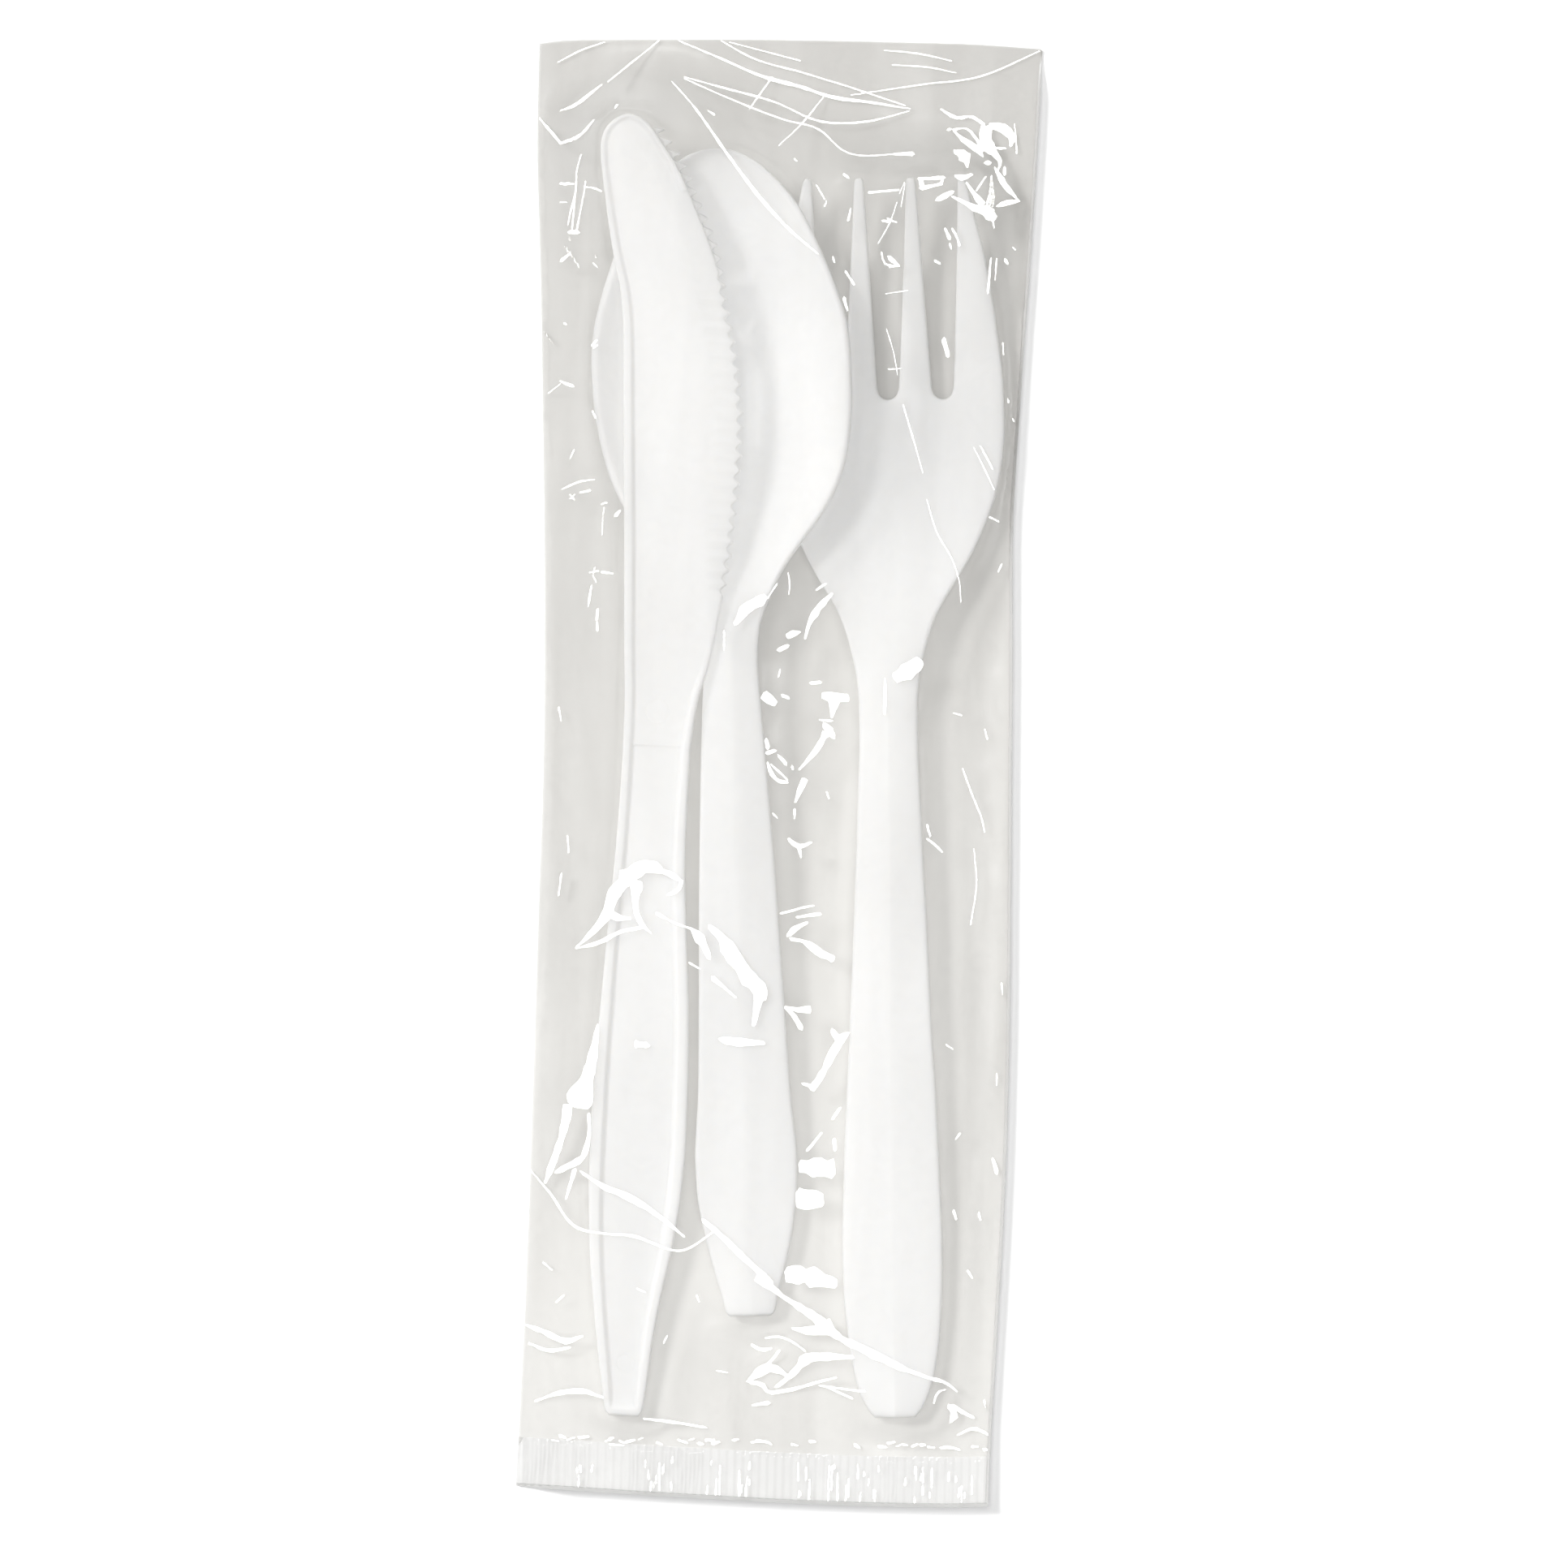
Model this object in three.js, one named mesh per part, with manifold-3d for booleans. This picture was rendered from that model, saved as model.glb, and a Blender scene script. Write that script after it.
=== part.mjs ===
// Wrapped disposable cutlery set: a knife, a spoon and a fork in a clear film pouch.
//
// Millimetres, +Z up. The pack lies on its back face. The origin is the middle of the pack's
// footprint on the surface it lies on, +Y runs towards the folded top edge, +X is the side of the
// fork. Each item of cutlery is built in a frame of its own (origin at the middle of its butt,
// +Y towards its tip, +X to the right, +Z up) and then laid into the pack.

import * as THREE from 'three';
import { mergeVertices } from 'three/addons/utils/BufferGeometryUtils.js';
import Module from 'manifold-3d';

// ---------------------------------------------------------------- driving dimensions

const CLEARANCE = 0.3; // space kept between neighbouring pieces

// Moulded cutlery
const WALL = 1.1; // wall of the spoon and the fork
const KNIFE_LENGTH = 164.6;
const KNIFE_WEB = 1.15; // blade and handle panel
const KNIFE_RIM_HEIGHT = 0.55; // rims standing over the web, each face
const KNIFE_TOOTH_PITCH = 1.81;
const KNIFE_TOOTH_DEPTH = 0.55;
const KNIFE_TOOTHED = [104.6, 160.2]; // stretch of the cutting edge that has teeth
const KNIFE_PANEL_END = 85.2; // where the sunk handle panel ends
const KNIFE_PANEL_SINK = 0.15;
const SPOON_LENGTH = 148.0;
const SPOON_BOWL_DEPTH = 5.9;
const FORK_LENGTH = 157.3;
const FORK_SLOT_END = 129.4; // bottom of the slots between the tines
const FORK_TIP_SPACING = 6.55;
const FORK_TIP_WIDTH = 1.15;
const FORK_TINE_RISE = 4.4; // how far the tine tips bend up
const FORK_DISH = 0.7; // how far the sides of the head stand over its middle

// How each item lies in the pack: butt position, turn about Z (positive to the left), roll about Y
const KNIFE_LAY = { x: -16.64, y: -82.52, turn: -1.33, roll: 0 };
const SPOON_LAY = { x: -0.8, y: -69.42, turn: 3.286, roll: 0 };
const FORK_LAY = { x: 17.99, y: -81.81, turn: 1.99, roll: -3.5 };

// Film pouch: one sheet folded at the top, welded at the sides and crimped at the bottom
const FILM = 0.05; // film thickness
const SIDE_WELD = 0.75; // width of the side welds
const TOP_FOLD = 0.3; // width of the pressed fold
const CRIMP_HEIGHT = 6.2;
const CRIMP_RIB_PITCH = 1.03;
const CRIMP_RIB_HEIGHT = 0.22; // peak to valley
const NICK = { y: -4.6, width: 0.35, depth: 1.95 }; // tear nick cut into the right-hand weld

// Outlines, [station along the length, left edge, right edge]
const KNIFE_OUTLINE = [
  [0.0, -1.9, 1.9], [0.6, -2.35, 2.3], [2.9, -2.85, 2.6], [5.5, -3.25, 2.85], [10.5, -4.05, 3.3], [16.6, -4.85, 4.2],
  [22.5, -5.45, 5.25], [29.9, -5.85, 5.98], [35.4, -5.95, 6.18], [45.7, -5.75, 5.98], [52.0, -5.45, 5.7],
  [61.2, -5.05, 5.0], [68.5, -4.65, 4.45], [75.0, -4.38, 4.25], [84.0, -4.2, 4.25], [88.0, -4.2, 4.55],
  [91.5, -4.28, 5.0], [95.2, -4.5, 5.98], [98.8, -4.72, 6.65], [101.4, -4.85, 7.0], [104.3, -4.98, 7.45],
  [107.0, -5.12, 7.9], [110.1, -5.26, 8.2], [114.2, -5.48, 8.5], [118.3, -5.7, 8.75], [122.4, -5.94, 8.88],
  [126.5, -6.16, 8.8], [130.4, -6.36, 8.4], [134.5, -6.56, 7.78], [138.5, -6.8, 6.85], [142.2, -7.3, 5.84],
  [146.2, -8.3, 4.62], [149.7, -9.05, 3.15], [153.2, -9.72, 1.55], [156.5, -10.28, 0.0], [159.0, -10.62, -1.45],
  [160.6, -10.7, -2.6], [162.0, -10.45, -3.65], [163.1, -9.85, -4.5], [163.9, -9.0, -5.4], [164.4, -8.15, -6.4],
  [164.6, -7.6, -7.1],
];
const SPOON_OUTLINE = [
  [0.0, -2.5, 2.5], [0.35, -3.0, 3.0], [2.3, -3.5, 3.45], [4.7, -4.15, 4.1], [8.3, -5.05, 5.1], [12.0, -5.8, 5.85],
  [16.0, -6.35, 6.35], [20.5, -6.45, 6.5], [24.0, -6.2, 6.25], [29.0, -5.8, 5.9], [40.3, -5.35, 5.45],
  [53.7, -4.9, 4.95], [63.0, -4.5, 4.5], [72.3, -4.05, 4.0], [78.0, -3.7, 3.65], [83.0, -3.42, 3.42], [87.0, -3.75, 3.8],
  [91.0, -5.2, 5.2], [93.7, -6.5, 6.5], [95.2, -7.35, 7.4], [98.6, -9.85, 9.9], [101.2, -11.8, 11.9],
  [104.7, -13.6, 14.0], [108.0, -14.75, 15.2], [112.1, -15.65, 15.95], [117.0, -16.2, 16.28], [120.9, -16.3, 16.25],
  [125.0, -15.95, 16.0], [129.8, -14.75, 14.75], [134.1, -13.25, 13.2], [137.5, -11.85, 11.75], [140.3, -10.35, 10.35],
  [142.6, -8.75, 8.75], [144.6, -7.0, 7.0], [146.1, -5.3, 5.3], [147.2, -3.55, 3.55], [147.8, -1.9, 1.9], [148.0, -0.7, 0.7],
];
const FORK_OUTLINE = [
  [0.0, -2.6, 2.6], [0.9, -3.35, 3.35], [2.9, -4.35, 4.35], [6.0, -5.2, 5.2], [11.0, -5.95, 5.85], [15.3, -6.35, 6.15],
  [21.4, -6.5, 6.25], [30.7, -6.25, 6.0], [42.0, -5.7, 5.55], [51.3, -5.2, 5.05], [62.6, -4.65, 4.65],
  [71.5, -4.25, 4.28], [79.0, -3.98, 3.98], [86.0, -3.72, 3.72], [90.5, -3.74, 3.74], [94.0, -4.02, 4.02],
  [98.5, -4.98, 4.98], [101.5, -5.95, 6.0], [104.0, -7.2, 7.3], [106.3, -8.6, 8.75], [109.8, -10.5, 10.8],
  [112.5, -11.7, 12.05], [115.2, -12.8, 13.15], [118.0, -13.65, 14.0], [122.3, -14.4, 14.75], [126.4, -14.6, 14.98],
  [131.1, -14.45, 14.85], [138.7, -13.7, 14.05], [145.2, -12.75, 13.05], [149.4, -11.9, 12.2], [152.0, -11.3, 11.55],
  [154.8, -10.7, 10.9], [156.3, -10.35, 10.5], [157.3, -10.1, 10.2],
];
// Pouch outline: the long edges draw in where the contents fill the pouch
const POUCH_LEFT = [
  [-93.15, -30.12], [-86.3, -29.94], [-78.0, -29.75], [-69.8, -29.56], [-61.5, -29.47], [-53.2, -29.38], [-43.9, -29.32],
  [-30.9, -29.25], [-16.4, -29.17], [-4.0, -29.06], [8.4, -29.17], [16.7, -29.38], [25.0, -29.6], [35.3, -29.98],
  [44.0, -30.33], [58.4, -30.93], [66.7, -31.35], [72.9, -31.7], [78.0, -31.95], [84.0, -32.05], [93.15, -32.06],
];
const POUCH_RIGHT = [
  [-93.15, 29.98], [-84.7, 30.08], [-78.5, 30.3], [-72.3, 30.49], [-66.1, 30.69], [-59.9, 30.88], [-53.6, 31.03],
  [-44.0, 31.13], [-34.0, 31.12], [-18.5, 30.87], [-8.2, 30.68], [4.2, 30.42], [12.5, 30.28], [24.9, 29.94], [31.1, 29.82],
  [37.3, 29.94], [43.5, 30.18], [49.7, 30.43], [56.0, 30.67], [64.2, 31.06], [70.5, 31.3], [80.8, 31.66], [89.1, 31.88],
  [93.15, 32.06],
];
const POUCH_TOP = [[-32.06, 91.75], [-28.4, 92.25], [-22.2, 92.5], [-11.9, 92.8], [-3.6, 93.0], [8.8, 93.12], [21.2, 93.15], [32.06, 92.75]];
const POUCH_BOTTOM = [[-30.12, -91.9], [-23.5, -92.14], [-13.1, -92.53], [-0.7, -92.92], [5.5, -93.06], [14.0, -93.15], [24.1, -93.08], [30.0, -92.8]];

// ---------------------------------------------------------------- small helpers

const clamp = (v, a, b) => Math.min(b, Math.max(a, v));
const mix = (a, b, t) => a + (b - a) * t;
const smooth = (a, b, v) => {
  const t = clamp((v - a) / (b - a), 0, 1);
  return t * t * (3 - 2 * t);
};

// A smooth curve through a table of [station, value, ...] rows (monotone cubic)
function table(rows, column = 1) {
  const n = rows.length;
  const x = rows.map((r) => r[0]);
  const y = rows.map((r) => r[column]);
  const d = [];
  for (let i = 0; i < n - 1; i++) d.push((y[i + 1] - y[i]) / (x[i + 1] - x[i]));
  const m = [d[0]];
  for (let i = 1; i < n - 1; i++) m.push(d[i - 1] * d[i] <= 0 ? 0 : (2 * d[i - 1] * d[i]) / (d[i - 1] + d[i]));
  m.push(d[n - 2]);
  return (v) => {
    if (v <= x[0]) return y[0];
    if (v >= x[n - 1]) return y[n - 1];
    let i = 0;
    while (v > x[i + 1]) i++;
    const h = x[i + 1] - x[i];
    const t = (v - x[i]) / h;
    const t2 = t * t;
    const t3 = t2 * t;
    return (2 * t3 - 3 * t2 + 1) * y[i] + (t3 - 2 * t2 + t) * h * m[i] + (3 * t2 - 2 * t3) * y[i + 1] + (t3 - t2) * h * m[i + 1];
  };
}

function geometry(points, triangles) {
  const g = new THREE.BufferGeometry();
  g.setAttribute('position', new THREE.Float32BufferAttribute(points.flat(), 3));
  g.setIndex(triangles.flat());
  return g;
}

// A closed body through cross-sections. Each section is a loop of [x, y, z] with the same even number
// of points, the upper face from left to right and then the lower face from right to left.
function loft(sections) {
  const n = sections[0].length;
  const points = sections.flat();
  const triangles = [];
  const at = (s, k) => s * n + ((k + n) % n);
  for (let s = 0; s < sections.length - 1; s++) {
    for (let k = 0; k < n; k++) {
      triangles.push([at(s, k), at(s, k + 1), at(s + 1, k + 1)], [at(s, k), at(s + 1, k + 1), at(s + 1, k)]);
    }
  }
  for (const [s, flip] of [[0, true], [sections.length - 1, false]]) {
    for (let k = 0; k < n / 2 - 1; k++) {
      const a = at(s, k);
      const b = at(s, k + 1);
      const c = at(s, n - 2 - k);
      const d = at(s, n - 1 - k);
      const pair = [[a, b, c], [a, c, d]];
      for (const t of pair) triangles.push(flip ? [t[0], t[2], t[1]] : t);
    }
  }
  return geometry(points, triangles);
}

// Offsets a line of [x, z] points along its normals to give the upper and lower face of a wall,
// with the wall's free ends rounded off a little.
function wallLoop(line, y, thickness) {
  const normals = line.map((p, i) => {
    const a = line[Math.max(0, i - 1)];
    const b = line[Math.min(line.length - 1, i + 1)];
    const l = Math.hypot(b[0] - a[0], b[1] - a[1]) || 1;
    return [-(b[1] - a[1]) / l, (b[0] - a[0]) / l];
  });
  const top = [];
  const bottom = [];
  line.forEach((p, i) => {
    const last = i === 0 || i === line.length - 1;
    const half = (thickness / 2) * (last ? 0.55 : 1);
    top.push([p[0] + normals[i][0] * half, y, p[1] + normals[i][1] * half]);
    bottom.push([p[0] - normals[i][0] * half, y, p[1] - normals[i][1] * half]);
  });
  return [...top, ...bottom.reverse()];
}

function lay(g, p, z = 0) {
  const m = new THREE.Matrix4()
    .makeTranslation(p.x, p.y, z)
    .multiply(new THREE.Matrix4().makeRotationZ(THREE.MathUtils.degToRad(p.turn)))
    .multiply(new THREE.Matrix4().makeRotationY(THREE.MathUtils.degToRad(p.roll)));
  return g.clone().applyMatrix4(m);
}

// ---------------------------------------------------------------- knife

// Underside of the knife over the surface: it climbs from the butt to lie over the spoon's bowl
const knifeLift = table([[0, 0.4], [20, 1.8], [40, 3.2], [60, 4.6], [80, 5.95], [95, 6.9], [108, 7.7], [117, 8.15], [128, 8.55], [140, 8.85], [150, 9.0], [164.6, 9.1]]);
const knifeLeft = table(KNIFE_OUTLINE, 1);
const knifeRight = table(KNIFE_OUTLINE, 2);
const knifeRimLeft = table([[0, 0.5], [3, 1.1], [20, 1.7], [35, 1.9], [60, 1.5], [85, 1.25], [110, 1.4], [130, 1.45], [148, 1.1], [158, 0.85], [164.6, 0.3]]);
const knifeRimRight = table([[0, 0.5], [3, 1.1], [20, 1.7], [35, 2.0], [60, 1.8], [75, 1.6], [92, 1.1], [100, 0.8], [164.6, 0.3]]);

function knifeSection(y, toothed) {
  const edge = y > KNIFE_TOOTHED[0] && y < KNIFE_TOOTHED[1];
  const xl = knifeLeft(y);
  let xr = knifeRight(y);
  if (edge && toothed) {
    const fade = smooth(KNIFE_TOOTHED[0], KNIFE_TOOTHED[0] + 2, y) * (1 - smooth(KNIFE_TOOTHED[1] - 1, KNIFE_TOOTHED[1], y));
    xr -= KNIFE_TOOTH_DEPTH * fade;
  }
  const z0 = knifeLift(y);
  const web = KNIFE_WEB;
  const rimL = KNIFE_RIM_HEIGHT * (1 - 0.35 * smooth(120, 160, y));
  const rimR = KNIFE_RIM_HEIGHT * (1 - smooth(88, 99, y));
  const sink = KNIFE_PANEL_SINK * (1 - smooth(KNIFE_PANEL_END - 0.2, KNIFE_PANEL_END + 0.2, y)) * smooth(2, 4, y);
  const w = xr - xl;
  const rl = Math.min(knifeRimLeft(y), w * 0.3);
  const rr = Math.min(knifeRimRight(y), w * 0.3);
  const ground = 0.36 * smooth(99, 106, y) * (1 - smooth(158, 162.5, y)); // how far the cutting edge thins
  const bevel = mix(rr, Math.min(3.2, w * 0.35), smooth(99, 106, y) * (1 - smooth(156, 162.5, y)));
  const top = z0 + web;
  const end = Math.min(0.28, w * 0.1);
  const up = [
    [xl, top + rimL * 0.45 - 0.1],
    [xl + end, top + rimL],
    [xl + rl * 0.72, top + rimL],
    [xl + rl, top - sink],
    [xr - bevel, top - sink],
    [xr - mix(rr * 0.72, 0.3, ground > 0.02 ? 1 : 0), top + rimR - ground - (rimR > 0.01 ? 0 : 0)],
    [xr - end * 0.6, top + rimR - ground],
    [xr, top + rimR * 0.45 - 0.1 - ground],
  ];
  const down = [
    [xr, z0 + 0.1 + ground * 0.6],
    [xr - end * 0.6, z0 + ground * 0.5],
    [xr - mix(rr * 0.72, 0.3, ground > 0.02 ? 1 : 0), z0 + ground * 0.5],
    [xr - bevel, z0],
    [xl + rl, z0],
    [xl + rl * 0.72, z0],
    [xl + end, z0],
    [xl, z0 + 0.12],
  ];
  return [...up, ...down].map(([x, z]) => [x, y, z]);
}

function knifeGeometry() {
  const stations = [0, 0.25, 0.7, 1.6, 3, 5.5, 9, 13, 17.5, 22, 27, 32, 37, 43, 50, 58, 66, 73, 79, 83, KNIFE_PANEL_END - 0.2, KNIFE_PANEL_END + 0.2, 88, 91, 94, 97, 99, 101, 103, 104.4];
  const rows = stations.map((y) => knifeSection(y, false));
  const count = Math.floor((KNIFE_TOOTHED[1] - KNIFE_TOOTHED[0]) / KNIFE_TOOTH_PITCH);
  for (let i = 0; i < count; i++) {
    const y = KNIFE_TOOTHED[0] + i * KNIFE_TOOTH_PITCH;
    rows.push(knifeSection(y + 0.1 * KNIFE_TOOTH_PITCH, true), knifeSection(y + 0.55 * KNIFE_TOOTH_PITCH, false));
  }
  for (const y of [160.3, 161.4, 162.4, 163.2, 163.8, 164.2, 164.45, KNIFE_LENGTH]) rows.push(knifeSection(y, false));
  return loft(rows);
}

// ---------------------------------------------------------------- spoon

const spoonLeft = table(SPOON_OUTLINE, 1);
const spoonRight = table(SPOON_OUTLINE, 2);
// Middle of the wall at the handle's ridge and at the bowl's rim, over the surface
const spoonLine = table([[0, 2.1], [20, 3.0], [45, 4.55], [65, 5.75], [80, 6.4], [88, 6.6], [95, 6.75], [105, 7.15], [118, 7.5], [135, 7.55], [148, 7.35]]);

function spoonSection(y) {
  const xl = spoonLeft(y);
  const xr = spoonRight(y);
  const half = (xr - xl) / 2;
  const middle = (xr + xl) / 2;
  const z = spoonLine(y);
  const bowl = smooth(86, 97, y);
  const depth = SPOON_BOWL_DEPTH * bowl * Math.pow(clamp(half / 16.3, 0, 1), 1.15) * (1 - 0.1 * smooth(120, 92, y));
  const gable = 0.95 * (1 - smooth(82, 93, y));
  const line = [];
  const across = 12;
  for (let i = 0; i <= across; i++) {
    const t = -Math.cos((Math.PI * i) / across);
    const u = mix((2 * i) / across - 1, t, bowl * 0.5);
    const ridge = Math.sqrt(u * u + 0.012) - 0.11;
    line.push([middle + u * half, z - depth * (1 - Math.pow(Math.abs(u), 2.3)) - gable * ridge]);
  }
  return wallLoop(line, y, WALL * (1 - 0.25 * smooth(140, 148, y)));
}

function spoonGeometry() {
  const stations = [0, 0.35, 1.3, 3, 5.5, 8.5, 12, 16, 20.5, 25, 31, 38, 46, 54, 62, 70, 76, 80.5, 83.5, 86, 88.3, 90.5, 92.7, 95, 97.5, 100, 102.7, 105.5, 109, 113, 117, 121, 125, 129, 132.5, 135.8, 138.7, 141.2, 143.3, 145, 146.3, 147.25, 147.8, SPOON_LENGTH];
  return loft(stations.map(spoonSection));
}

// ---------------------------------------------------------------- fork

const forkLeft = table(FORK_OUTLINE, 1);
const forkRight = table(FORK_OUTLINE, 2);
const forkLine = table([[0, 2.6], [15, 2.85], [40, 3.75], [65, 4.7], [82, 5.1], [90, 5.0], [98, 4.3], [107, 3.0], [116, 2.05], [124, 1.75], [132, 1.8], [139, 2.25], [146, 3.5], [151, 4.75], [157.3, 1.75 + FORK_TINE_RISE]]);

function forkSection(y) {
  const xl = forkLeft(y);
  const xr = forkRight(y);
  const half = (xr - xl) / 2;
  const middle = (xr + xl) / 2;
  const z = forkLine(y);
  const head = smooth(92, 108, y);
  const dish = FORK_DISH * head * (1 - 0.7 * smooth(126, 150, y));
  const gable = 1.1 * (1 - smooth(86, 101, y));
  const line = [];
  const across = 14;
  for (let i = 0; i <= across; i++) {
    const u = (2 * i) / across - 1;
    const ridge = Math.sqrt(u * u + 0.012) - 0.11;
    line.push([middle + u * half, z + dish * u * u - gable * ridge]);
  }
  return wallLoop(line, y, WALL * (1 - 0.3 * smooth(140, 157, y)));
}

// The space between two tines: narrow with a round end at the bottom, wider towards the tips
function slotGeometry(index) {
  const centreAt = (y) => {
    const t = (y - FORK_SLOT_END) / (FORK_LENGTH - FORK_SLOT_END);
    return index * mix(7.0, FORK_TIP_SPACING, t) + 0.15;
  };
  const halfAt = (y) => mix(1.28, (FORK_TIP_SPACING - FORK_TIP_WIDTH) / 2, Math.pow(clamp((y - FORK_SLOT_END) / (FORK_LENGTH - FORK_SLOT_END), 0, 1.2), 0.92));
  const shape = new THREE.Shape();
  const end = FORK_SLOT_END + 1.28;
  const left = [];
  const right = [];
  for (const y of [end, 134, 139, 144, 149, 153, 156, 158.5]) {
    left.push([centreAt(y) - halfAt(y), y]);
    right.push([centreAt(y) + halfAt(y), y]);
  }
  shape.moveTo(...left[left.length - 1]);
  for (let i = left.length - 2; i >= 0; i--) shape.lineTo(...left[i]);
  for (let i = 1; i < 8; i++) {
    const a = Math.PI + (Math.PI * i) / 8;
    shape.lineTo(centreAt(end) + halfAt(end) * Math.cos(a), end + 1.28 * Math.sin(a));
  }
  for (const p of right) shape.lineTo(...p);
  shape.closePath();
  const g = new THREE.ExtrudeGeometry(shape, { depth: 20, bevelEnabled: false });
  g.translate(0, 0, -4);
  return g;
}

const wasm = await Module();
wasm.setup();

function solid(g) {
  const bare = g.clone();
  for (const name of Object.keys(bare.attributes)) if (name !== 'position') bare.deleteAttribute(name);
  const merged = mergeVertices(bare, 1e-4);
  return new wasm.Manifold(new wasm.Mesh({ numProp: 3, vertProperties: merged.attributes.position.array, triVerts: new Uint32Array(merged.index.array) }));
}

function fromSolid(m) {
  const mesh = m.getMesh();
  const g = new THREE.BufferGeometry();
  g.setAttribute('position', new THREE.BufferAttribute(new Float32Array(mesh.vertProperties), mesh.numProp));
  g.setIndex(new THREE.BufferAttribute(new Uint32Array(mesh.triVerts), 1));
  return g;
}

function forkGeometry() {
  const stations = [0, 0.35, 1.2, 2.9, 5.5, 9, 13, 18, 24, 31, 40, 50, 60, 69, 77, 84, 88, 91.5, 94.5, 97, 99.5, 102, 104.5, 107, 109.5, 112.5, 116, 120, 124, 128, 132, 136, 140, 144, 147.5, 150.5, 153, 155, 156.5, FORK_LENGTH];
  let body = solid(loft(stations.map(forkSection)));
  for (const i of [-1, 0, 1]) body = body.subtract(solid(slotGeometry(i)));
  return fromSolid(body);
}

// ---------------------------------------------------------------- laying the cutlery out

const knifeBody = lay(knifeGeometry(), KNIFE_LAY);
const spoonBody = lay(spoonGeometry(), SPOON_LAY);
const forkRaw = lay(forkGeometry(), FORK_LAY);
forkRaw.computeBoundingBox();
const forkBody = forkRaw.clone().translate(0, 0, FILM + CLEARANCE - forkRaw.boundingBox.min.z);

// ---------------------------------------------------------------- film pouch

// Highest point of the cutlery over a fine grid, which the upper film lies on
const FINE = 0.8;
const FX = 84;
const FY = 236;
const X0 = -FINE * (FX - 1) / 2;
const Y0 = -FINE * (FY - 1) / 2;
const support = new Float64Array(FX * FY).fill(-1);
function cover(g) {
  const p = g.attributes.position;
  const index = g.index.array;
  const a = new THREE.Vector3();
  const b = new THREE.Vector3();
  const c = new THREE.Vector3();
  for (let i = 0; i < index.length; i += 3) {
    a.fromBufferAttribute(p, index[i]);
    b.fromBufferAttribute(p, index[i + 1]);
    c.fromBufferAttribute(p, index[i + 2]);
    const det = (b.x - a.x) * (c.y - a.y) - (c.x - a.x) * (b.y - a.y);
    if (det < 1e-9) continue;
    const i0 = Math.max(0, Math.ceil((Math.min(a.x, b.x, c.x) - X0) / FINE - 0.5));
    const i1 = Math.min(FX - 1, Math.floor((Math.max(a.x, b.x, c.x) - X0) / FINE + 0.5));
    const j0 = Math.max(0, Math.ceil((Math.min(a.y, b.y, c.y) - Y0) / FINE - 0.5));
    const j1 = Math.min(FY - 1, Math.floor((Math.max(a.y, b.y, c.y) - Y0) / FINE + 0.5));
    const top = Math.max(a.z, b.z, c.z);
    for (let j = j0; j <= j1; j++) {
      for (let i2 = i0; i2 <= i1; i2++) {
        const x = X0 + i2 * FINE;
        const y = Y0 + j * FINE;
        const u = ((x - a.x) * (c.y - a.y) - (c.x - a.x) * (y - a.y)) / det;
        const v = ((b.x - a.x) * (y - a.y) - (x - a.x) * (b.y - a.y)) / det;
        const slack = 0.5 * FINE / Math.sqrt(det + 0.05);
        if (u < -slack || v < -slack || u + v > 1 + slack) continue;
        const z = Math.min(top, a.z + u * (b.z - a.z) + v * (c.z - a.z));
        const k = j * FX + i2;
        if (z > support[k]) support[k] = z;
      }
    }
  }
}
for (const g of [knifeBody, spoonBody, forkBody]) cover(g);

const leftEdge = table(POUCH_LEFT);
const rightEdge = table(POUCH_RIGHT);
const topEdge = table(POUCH_TOP);
const bottomEdge = table(POUCH_BOTTOM);

// Columns and rows of the pouch: nodes (i, j) over the footprint, 0..1 across and along
const columns = [0, 'weldL', 0.07, 0.135, 0.2, 0.27, 0.34, 0.41, 0.48, 0.55, 0.62, 0.69, 0.76, 0.83, 0.895, 'besideR', 'weldR', 1];
const rowsY = ['crimp', -83.6, -79.6, -74, -67, -60, -53, -46, -39, -32, -25, -18, -11, NICK.y - NICK.width / 2, NICK.y + NICK.width / 2, 2, 8, 14, 20, 26, 32, 38, 44, 50, 56, 62, 67, 71.5, 75.5, 79, 82.3, 85, 88, 'fold', 'end'];
const BESIDE_WELD = 1.6; // a column of nodes between the fork's head and the weld
const NI = columns.length;
const NJ = rowsY.length;
function node(i, j) {
  const spec = rowsY[j];
  const guess = typeof spec === 'number' ? spec : spec === 'crimp' ? -86 : 92.5;
  const xl = leftEdge(guess);
  const xr = rightEdge(guess);
  const col = columns[i];
  const x = col === 'weldL' ? xl + SIDE_WELD : col === 'weldR' ? xr - SIDE_WELD : col === 'besideR' ? xr - BESIDE_WELD : mix(xl, xr, col);
  let y = spec;
  if (spec === 'crimp') y = bottomEdge(x) + CRIMP_HEIGHT;
  if (spec === 'fold') y = topEdge(x) - TOP_FOLD;
  if (spec === 'end') y = topEdge(x);
  return [x, y];
}
const grid = [];
for (let j = 0; j < NJ; j++) for (let i = 0; i < NI; i++) grid.push(node(i, j));
const id = (i, j) => j * NI + i;
// The column just inside the right-hand weld bounds the nick
const nickRow = rowsY.indexOf(NICK.y - NICK.width / 2);
for (const j of [nickRow, nickRow + 1]) {
  grid[id(NI - 3, j)][0] = grid[id(NI - 1, j)][0] - NICK.depth;
}

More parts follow.
